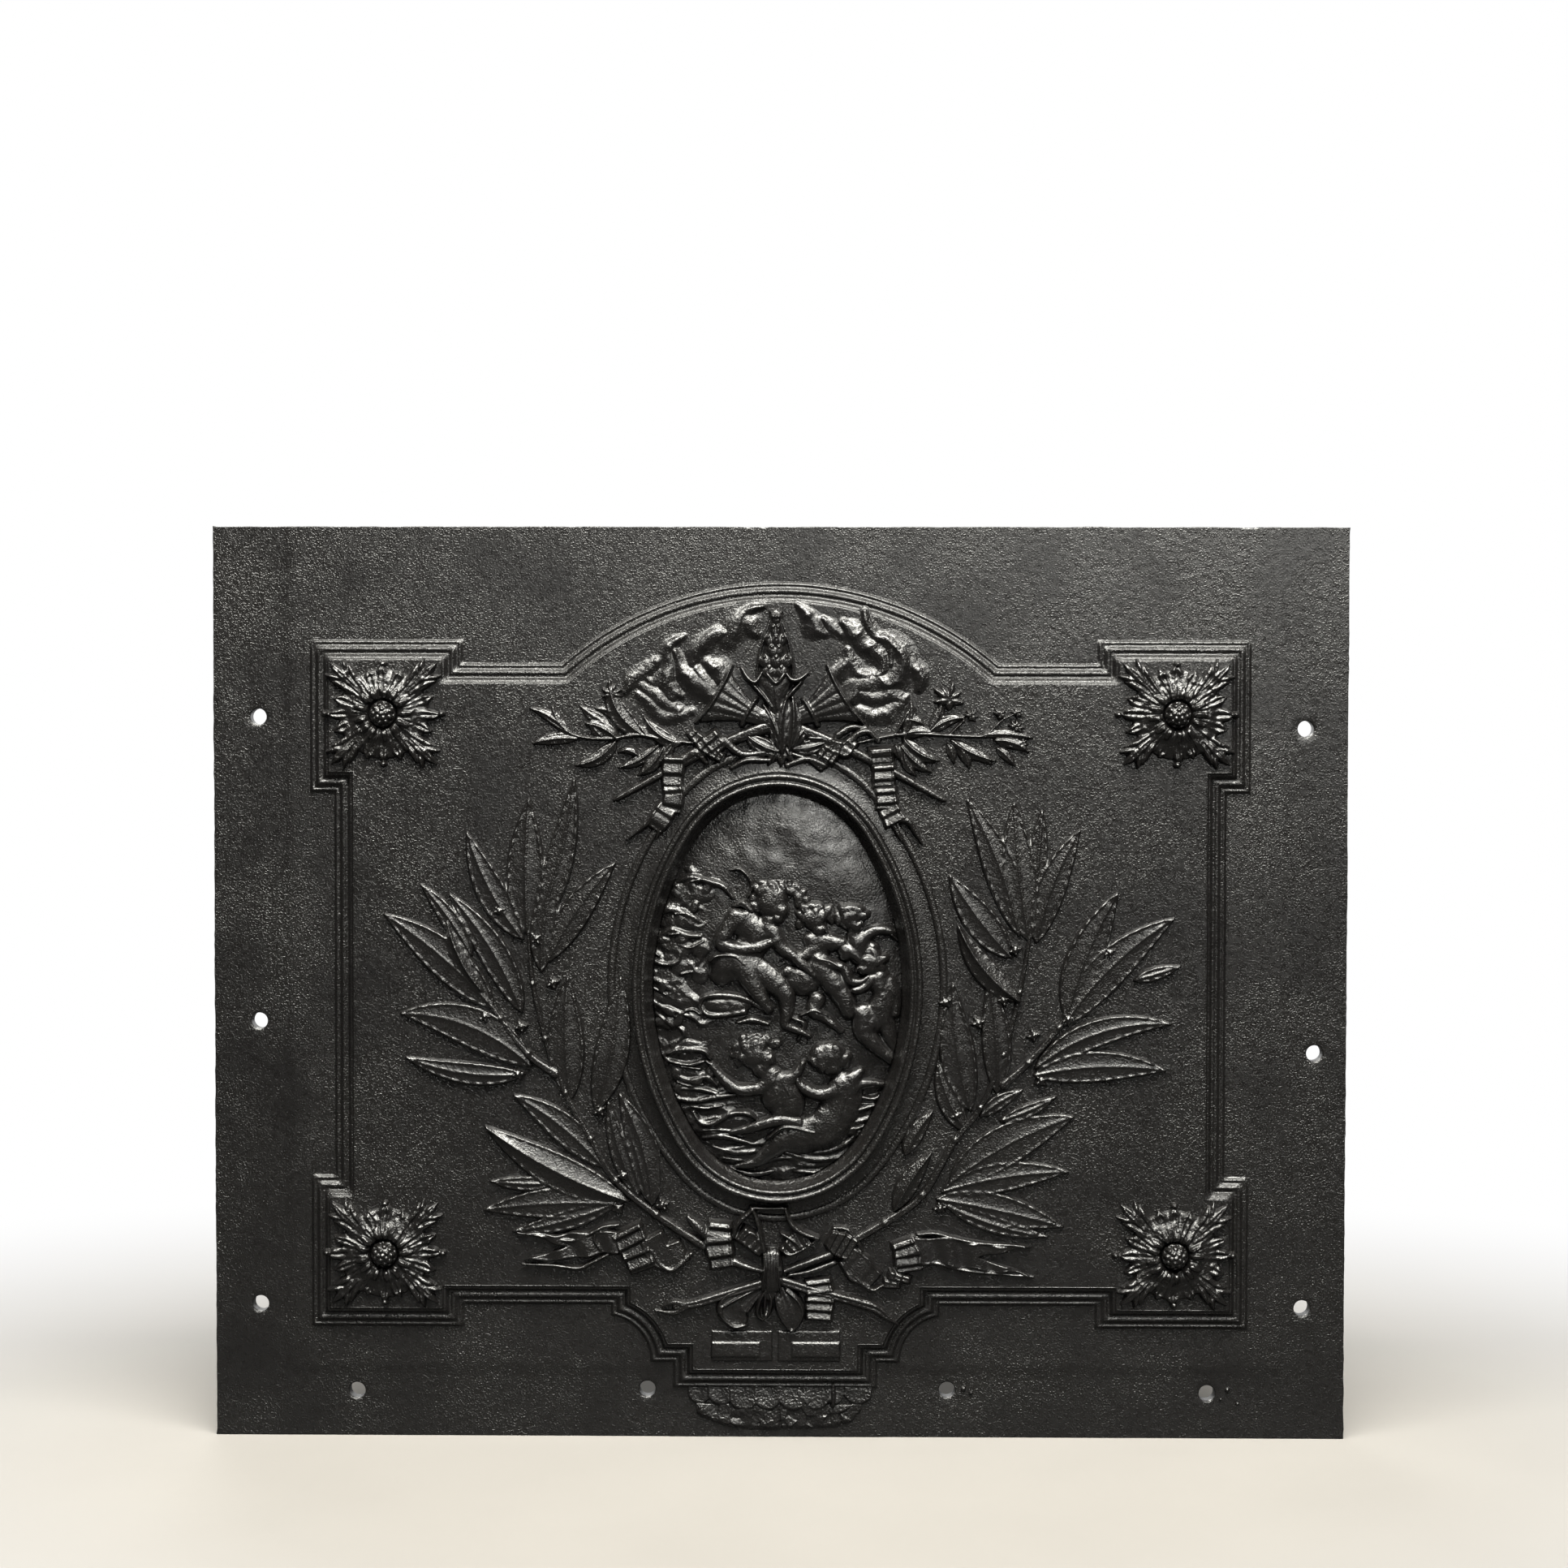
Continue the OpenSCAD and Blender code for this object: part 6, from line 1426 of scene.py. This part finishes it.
# each board's edges and cell, and its bands: points, then ripple, pitch and phase
RIBBONS = {
    "ribbon_top_left": ((-126, 0, 474, 572, 0.5), [
        ([(-8, 540, 2.5, 6), (-26, 540, 2.6, 8.6), (-38, 534, 2.2, 6.4)],),
        ([(-12, 546, 3, 6), (-30, 545, 3.6, 7.6), (-44, 556, 4.4, 7.8)],),
        ([(-70, 563, 3, 6.2), (-60, 552, 5.2, 8.2), (-46, 542, 3, 7)], 0.6, 6, 0.2),
        ([(-56, 560, 6.0, 8.8), (-47, 548, 6.5, 7.4)], 0.8, 7, 0.1),
        ([(-58, 538, 2, 5.4), (-66, 546, 4.4, 7.8), (-76, 541, 4.2, 6.6), (-90, 537, 3, 6.0)],),
        ([(-84, 542, 7.6, 7.2), (-85, 520, 7.2, 6.2)], 1.2, 10, 0.55),
        ([(-85, 521, 7.2, 5.0), (-84, 512, 7.2, 6.8), (-86, 499, 7, 5.6)], 1.0, 11, 0.3),
        ([(-88, 503, 7, 5.0), (-94, 494, 8, 6.6), (-100, 486, 6.5, 5.4)], 0.8, 10, 0.2),
        ([(-98, 497, 2.6, 6.4), (-106, 489, 2.8, 6.0), (-121, 477, 1.0, 3.8)],),
        ([(-94, 490, 3, 5.6), (-96, 482, 2, 4.6), (-98, 477, 0.8, 3.4)],)]),
    "ribbon_top_right": ((0, 122, 470, 572, 0.5), [
        ([(6, 536, 2.8, 6), (22, 541, 3.0, 8.4), (36, 536, 3.4, 7.2)],),
        ([(10, 545, 2.6, 6), (24, 540, 2.6, 7.4), (33, 533, 2.6, 6.4)],),
        ([(33, 549, 5.0, 7.0), (44, 541, 5.0, 8.8)], 0.9, 6, 0.2),
        ([(40, 552, 4.6, 8.4), (52, 548, 5.0, 8.0), (58, 556, 4.0, 7.2)], 0.5, 6, 0.4),
        ([(54, 553, 3.4, 7.0), (62, 561, 3.0, 8.2), (70, 563, 3.0, 8.0), (78, 556, 2.6, 6.4)],),
        ([(46, 560, 3, 6.6), (56, 566, 3.2, 6.4), (68, 566, 2.4, 5.6)],),
        ([(80, 549, 8.5, 8.2), (81, 538, 8, 6.0)], 1.2, 10, 0.4),
        ([(82, 536, 8, 7.6), (83, 520, 7.6, 6.2)], 1.3, 8.2, 0.45),
        ([(84, 518, 7.6, 6.6), (85, 502, 7.8, 6.0)], 1.2, 8.2, 0.35),
        ([(86, 503, 7.4, 5.2), (92, 491, 8.4, 6.6)], 0.9, 9, 0.2),
        ([(94, 494, 4, 6.8), (102, 492, 3.4, 7.0), (108, 483, 2.6, 5.6), (113, 474, 1, 3.8)],),
        ([(90, 490, 3, 5.6), (94, 482, 2.4, 5.0), (97, 476, 1, 3.6)],)]),
    "ribbon_bottom_left": ((-214, -8, 122, 184, 0.5), [
        ([(-12, 133, 2.4, 6), (-26, 137, 3.4, 7.6), (-38, 141, 4.4, 6.6)],),
        ([(-47, 172, 8, 6.6), (-48, 162, 9.5, 7.8), (-47, 150, 10, 7.8), (-45, 137, 8.5, 6.2)],
         1.7, 11.3, 0.46),
        ([(-72, 176, 2, 5), (-64, 168, 4.4, 7.0), (-56, 160, 3, 5.6)],),
        ([(-76, 150, 8, 5.2), (-92, 144, 9.5, 5.6), (-102, 160, 9, 6.2)],),
        ([(-70, 147, 2.2, 5.8), (-78, 139, 2.4, 7.4), (-86, 134, 2.6, 7.4), (-95, 139, 2, 6.2),
          (-101, 149, 2, 6.4), (-107, 151, 2, 5.6)],),
        ([(-122, 166, 12, 7.0), (-114, 150, 11, 6.4), (-108, 134, 10, 6.0)], 1.5, 9.5, 0.45),
        ([(-128, 156, 8, 5.4), (-150, 155, 9.5, 5.0), (-174, 152, 10, 4.6), (-203, 152, 11, 3.6)],
         0, 34, 0),
        ([(-128, 170, 1.8, 5.6), (-140, 168, 2.0, 6.0), (-152, 162, 2.0, 6.0),
          (-166, 157, 2.0, 5.6), (-186, 160, 1.8, 5.0), (-209, 163, 0.9, 3.6)],),
        ([(-136, 146, 1.8, 5.2), (-150, 139, 2, 5.4), (-160, 135, 2, 5.2), (-180, 137, 1.8, 4.6),
          (-205, 138, 0.9, 3.4)],),
        ([(-142, 150, 1.6, 5.4), (-147, 158, 1.6, 6), (-145, 164, 1.2, 5.4)],)]),
    "ribbon_bottom_right": ((4, 212, 90, 184, 0.5), [
        ([(4, 133, 2.4, 6), (20, 139, 3.4, 7.4), (42, 147, 3.6, 6.8)],),
        ([(8, 130, 2, 5.4), (24, 133, 2.6, 6.6), (44, 140, 3, 5.8)],),
        ([(40, 160, 6, 6.6), (48, 156, 9.5, 8.0), (58, 150, 9, 7.0)], 1.0, 5.5, 0.1),
        ([(44, 168, 2, 5.6), (54, 167, 2.2, 6.6), (62, 158, 2.2, 6.2), (66, 150, 1.6, 5.4)],),
        ([(54, 146, 8.5, 6.0), (64, 136, 11, 6.8), (76, 126, 7.5, 5.8)], 0.5, 16, 0.5),
        ([(50, 140, 1.8, 5.8), (62, 128, 2.0, 7.2), (74, 119, 2.0, 7.2), (82, 122, 1.6, 6)],),
        ([(88, 131, 3, 6.6), (104, 126, 2.4, 6.0)], 0.6, 6, 0.2),
        ([(84, 124, 3, 5.6), (96, 122, 2.2, 4.8)], 0.4, 6, 0.2),
        ([(98, 158, 8, 6.8), (102, 147, 10, 7.4), (104, 134, 9.5, 6.4)], 1.3, 8.0, 0.3),
        ([(108, 150, 10, 5.4), (130, 150, 10.5, 5.2), (160, 145, 10.5, 4.8), (200, 142, 11, 3.6)],
         0, 42, 0),
        ([(110, 163, 1.6, 5.6), (124, 164, 1.8, 6.2), (140, 160, 1.8, 6.0), (160, 156, 1.8, 5.4),
          (194, 154, 0.9, 3.6)],),
        ([(112, 136, 1.6, 5.2), (124, 140, 1.8, 5.6), (140, 136, 1.8, 5.4), (158, 133, 1.8, 5.0),
          (203, 129, 0.9, 3.4)],),
        ([(154, 152, 1.4, 5.0), (158, 145, 1.4, 5.0), (153, 139, 1.2, 4.6)],),
        ([(31, 127, 9.5, 5.8), (33, 112, 10.5, 6.2), (32, 95, 9.5, 5.4)], 1.3, 7.2, 0.3)]),
    "bow_loops": ((-42, 38, 140, 190, 0.45), [
        ([(-13, 148, 3, 6.5), (-22, 158, 6, 7.6), (-30, 164, 5.6, 9.0)], 0.5, 6, 0),
        ([(-36, 161, 2.4, 7.4), (-33, 171, 2.8, 9.4), (-21, 183, 2.4, 10.2)],),
        ([(-21, 184, 1.8, 9.6), (-16, 170, 2.4, 10.2), (-12, 150, 2.2, 8.4)],),
        ([(-22, 184.5, 1.8, 9), (-8, 184, 1.8, 8.2), (6, 184.5, 1.8, 9)],),
        ([(-29, 160, 1.4, 8.4), (-22, 165, 1.6, 9), (-17, 160, 1.4, 8.4), (-20, 152, 1.4, 8)],),
        ([(3, 148, 3, 6.5), (12, 156, 6.4, 7.8), (22, 162, 6.4, 7.6)], 0.9, 6, 0.3),
        ([(5, 184, 1.8, 9.6), (9, 173, 2.6, 10.2), (18, 165, 3.0, 10.2), (31, 160, 2.4, 8.6)],),
        ([(2, 164, 1.6, 8.4), (9, 160, 2.0, 9.6), (18, 153, 1.8, 8.8)],),
        ([(2, 151, 1.6, 8), (9, 147, 1.8, 8.8), (22, 153, 1.6, 8.2), (30, 159, 1.6, 8.4)],)])}
for name, (edges, bands) in RIBBONS.items():
    board = Board(*edges)
    for one in bands:
        band(board, *one)
    board.cast(name)

board = Board(-24, 12, 112, 156, 0.45)
board.rods([[(-7, 116, 7.5, 7), (-6, 124, 9.2, 10), (-5, 136, 8.2, 11), (-5, 146, 7, 9.6),
             (-5, 151, 5.6, 7.5)]], bulge=2.6)
board.rods([[(x * 1.1 + 1, 118, 0.9, 8.6), (x, 126, 1.2, 11.2), (x * 0.8 - 1, 137, 1.3, 12.2),
             (x * 0.9 - 0.5, 148, 1, 9.6)] for x in (-12.5, -9.2, -6, -2.8, 0.4)],
           base=5.0, blend=0.4)
board.cast("bow_knot")

# two hanging loops with grooves that fade toward their ends, and the folds along them
board = Board(-54, 28, 78, 124, 0.5)
for run, grooves in [
        ([(-16, 119, 4, 5.6), (-28, 111, 9, 6.6), (-36, 103, 12, 7.0), (-34, 95, 8, 5.6)], 4),
        ([(2, 120, 4, 6), (7, 110, 8, 7.2), (10, 100, 9, 7.2), (10, 92, 5, 6), (10, 86, 1.2, 4)],
         3)]:
    here, t, _, d, (w, top) = board.along(curve(placed(run)), 16)
    u = np.clip(np.abs(d) / w, 0, 1)
    h = top * (0.72 + 0.28 * u ** 2) + 0.5 * np.cos(math.pi * grooves * d / w) * (1 - t)
    board.lay(np.where(np.abs(d) < w, h, top - STEEP * (np.abs(d) - w)), here)
board.rods([
    [(-10, 119, 1.4, 8), (-15, 110, 1.6, 8.6), (-17, 100, 1.3, 7.4), (-15, 95, 0.8, 6)],
    [(-9, 119, 1.4, 8), (-6, 110, 1.6, 8.6), (-8, 100, 1.3, 7.4), (-13, 94, 0.8, 6)],
    [(-10, 118, 1.0, 7.6), (-11, 108, 1.2, 8), (-11, 98, 0.9, 6.6)],
    [(-20, 118, 1, 6.6), (-34, 111, 1.4, 8), (-46, 104, 1.3, 7.4)],
    [(-46, 106, 1.1, 7.2), (-45, 97, 1.4, 7.8), (-36, 89, 1.4, 7.2), (-26, 90, 1, 6)],
    [(-3, 116, 1, 7.6), (-1, 104, 1.3, 8.2), (3, 94, 1.3, 7.6), (10, 85, 1, 5.6)],
    [(6, 118, 1, 7.6), (15, 110, 1.3, 8.4), (19, 100, 1.3, 7.8), (15, 90, 1.1, 6.6),
     (10, 85, 0.8, 5.2)]], base=3.5, blend=0.4)
board.cast("bow_drops")

STEM_ENDS = {
    "left": [
        [(-10, 124, 4.6, 7.6), (-40, 115, 4.4, 7.0), (-66, 107, 4.0, 6.4), (-82, 104.5, 3.2, 5.6)],
        [(-74, 106, 2.4, 6.2), (-84, 108, 2, 5.8), (-93, 104, 0.7, 4)],
        [(-74, 104, 2.4, 6.0), (-84, 99.5, 2.2, 5.4), (-99, 101.5, 0.7, 3.4)]],
    "right": [
        [(4, 125, 4.6, 7.6), (26, 118, 4.6, 7.2), (50, 112, 4.2, 6.6), (74, 105, 4.6, 6.2),
         (86, 97, 3, 5.4), (94, 91, 0.8, 3.6)],
        [(44, 115, 1.4, 7.4), (66, 109, 1.8, 7.2), (80, 104, 1.6, 6.6), (92, 92.5, 0.8, 4.6)]]}
for side, runs in STEM_ENDS.items():
    board = Board(*((-106, -2) if side == "left" else (-4, 102)), 84, 132, 0.5)
    board.rods(runs, groove=0.9, bulge=2.4)
    board.cast("stem_end_" + side)

# ---------------------------------------------------------------- pedestal
# Two shallow tablets side by side on the plinth. Under it something was broken away: a row of
# scooped flutes remains, their lower lips proud and rounded, and below them a rough fracture with
# two cracks. Drops of iron lie by the right-hand holes.

TABLETS = {  # the board's sides, then left, right, foot, head and height of a slab and its panel
    "left": ((-58, 0), (-53, -5.5, 63.5, 87.5, 1.4), (-53, -15, 67, 78.5, 2.9)),
    "right": ((-6, 54), (-0.5, 48, 63.5, 87.5, 1.4), (10.5, 48, 67, 78.5, 2.9))}
for side, (sides, *slabs) in TABLETS.items():
    board = Board(*sides, 60, 92, 0.45)
    for x0, x1, z0, z1, top in slabs:
        edge = np.minimum(np.minimum(board.x - x0, x1 - board.x),
                          np.minimum(board.z - z0, z1 - board.z))
        board.lay(top + 0.1 * waves(board.x, board.z, (11, 6), 9)
                  - 2 * np.clip(-edge, 0, 9) - 0.6 * np.exp(-np.clip(edge, 0, 9) / 0.8))
    board.cast("pedestal_tablet_" + side)

# the fracture: facets of random height and tilt, then the scoops as (middle, half width, foot of
# the lip, height)
FACETS = 46
SCOOPS = [(-63, 9, 26, 3.2), (-46, 10, 25, 4.4), (-28, 10.5, 21.5, 5.4), (-9, 10, 22, 5.6),
          (11, 10.5, 22, 5.6), (30, 10, 22, 5.4), (45, 6, 26, 5.6), (63, 10.5, 26, 3.8)]
board = Board(-82, 86, 1.0, 46, 0.45)
dice = np.random.default_rng(8)
seeds = np.c_[dice.uniform(-68, 68, FACETS), dice.uniform(4, 26, FACETS)]
tilts = dice.uniform(-0.2, 0.2, (FACETS, 2))
levels = dice.uniform(1.4, 3.0, FACETS)
near = ((board.x[..., None] - seeds[:, 0]) ** 2
        + 1.6 * (board.z[..., None] - seeds[:, 1]) ** 2).argmin(-1)
facets = levels[near] + tilts[near, 0] * (board.x - seeds[near, 0]) \
    + tilts[near, 1] * (board.z - seeds[near, 1])
span = np.interp(board.x, [-72, -62, -40, -10, 20, 44, 58, 70], [24, 15, 7, 5, 6, 7, 12, 24])
facets = facets * np.clip((board.z - span) / 4, 0, 1) + 0.5 * lumps(board.x, board.z, 7, 61)
board.lay(np.where((board.z < 27) & (board.z > span) & (np.abs(board.x) < 66), facets, -9))
for x, half, foot, top in SCOOPS:
    u = (board.x - x) / half
    out = np.abs(u)
    lip_z = foot + 6 * np.clip(out, 0, 1.2) ** 2.4 + 0.8 * lumps(board.x, board.z, 9, int(x) + 99)
    share = np.clip((44 - board.z) / (44 - foot), 0, 1)
    h = (1.6 + (top - 1.6) * share ** 1.3) + 1.4 * np.clip(out, 0, 1) ** 2 - 1.1
    h = h - 2.6 * np.clip(1 - (board.z - lip_z) / 2.6, 0, 1) ** 2
    h = h + 0.3 * lumps(board.x, board.z, 8, 15)
    edge = np.maximum(lip_z - board.z, (out - 1) * half)
    h = np.where(edge < 0, h, h - STEEP * edge)
    board.lay(np.where(out < 1.4, h, -9))
for crack in ([(0, 22), (1, 12), (3, 1)], [(48, 20), (50, 10), (52, 1)]):
    here, _, _, d, _ = board.along(curve(crack), 4)
    board.h[here] -= 1.6 * np.exp(-(d / 0.7) ** 2)
board.rod([(43, 43, 1.2, 5), (43.5, 34, 1.6, 6.4), (43, 26, 1.4, 6)], base=2)
board.bulb(-80, 42, 3, 2, 2.0)
board.cast("broken_boss", BROKEN_IRON, np.minimum(plate_face(board.x, board.z), BACK))

board = Board(-440, 372, 24, 44, 0.5)
for x, z, r in ((357, 39, 2.2), (365, 28, 1.6), (352, 31.5, 1.4), (147, 39, 2.6), (153, 36, 2.0),
                (150, 45, 1.8), (120, 31, 1.2)):
    board.bulb(x, z, r, r * 0.85, 0.8 * r + 0.5, 30 * r)
board.cast("casting_pips", ground=plate_face(board.x, board.z))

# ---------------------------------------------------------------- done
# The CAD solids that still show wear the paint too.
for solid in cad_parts.values():
    if not solid.hide_render:
        if not solid.material_slots:
            solid.data.materials.append(RELIEF_IRON)
        for slot in solid.material_slots:
            slot.material = RELIEF_IRON
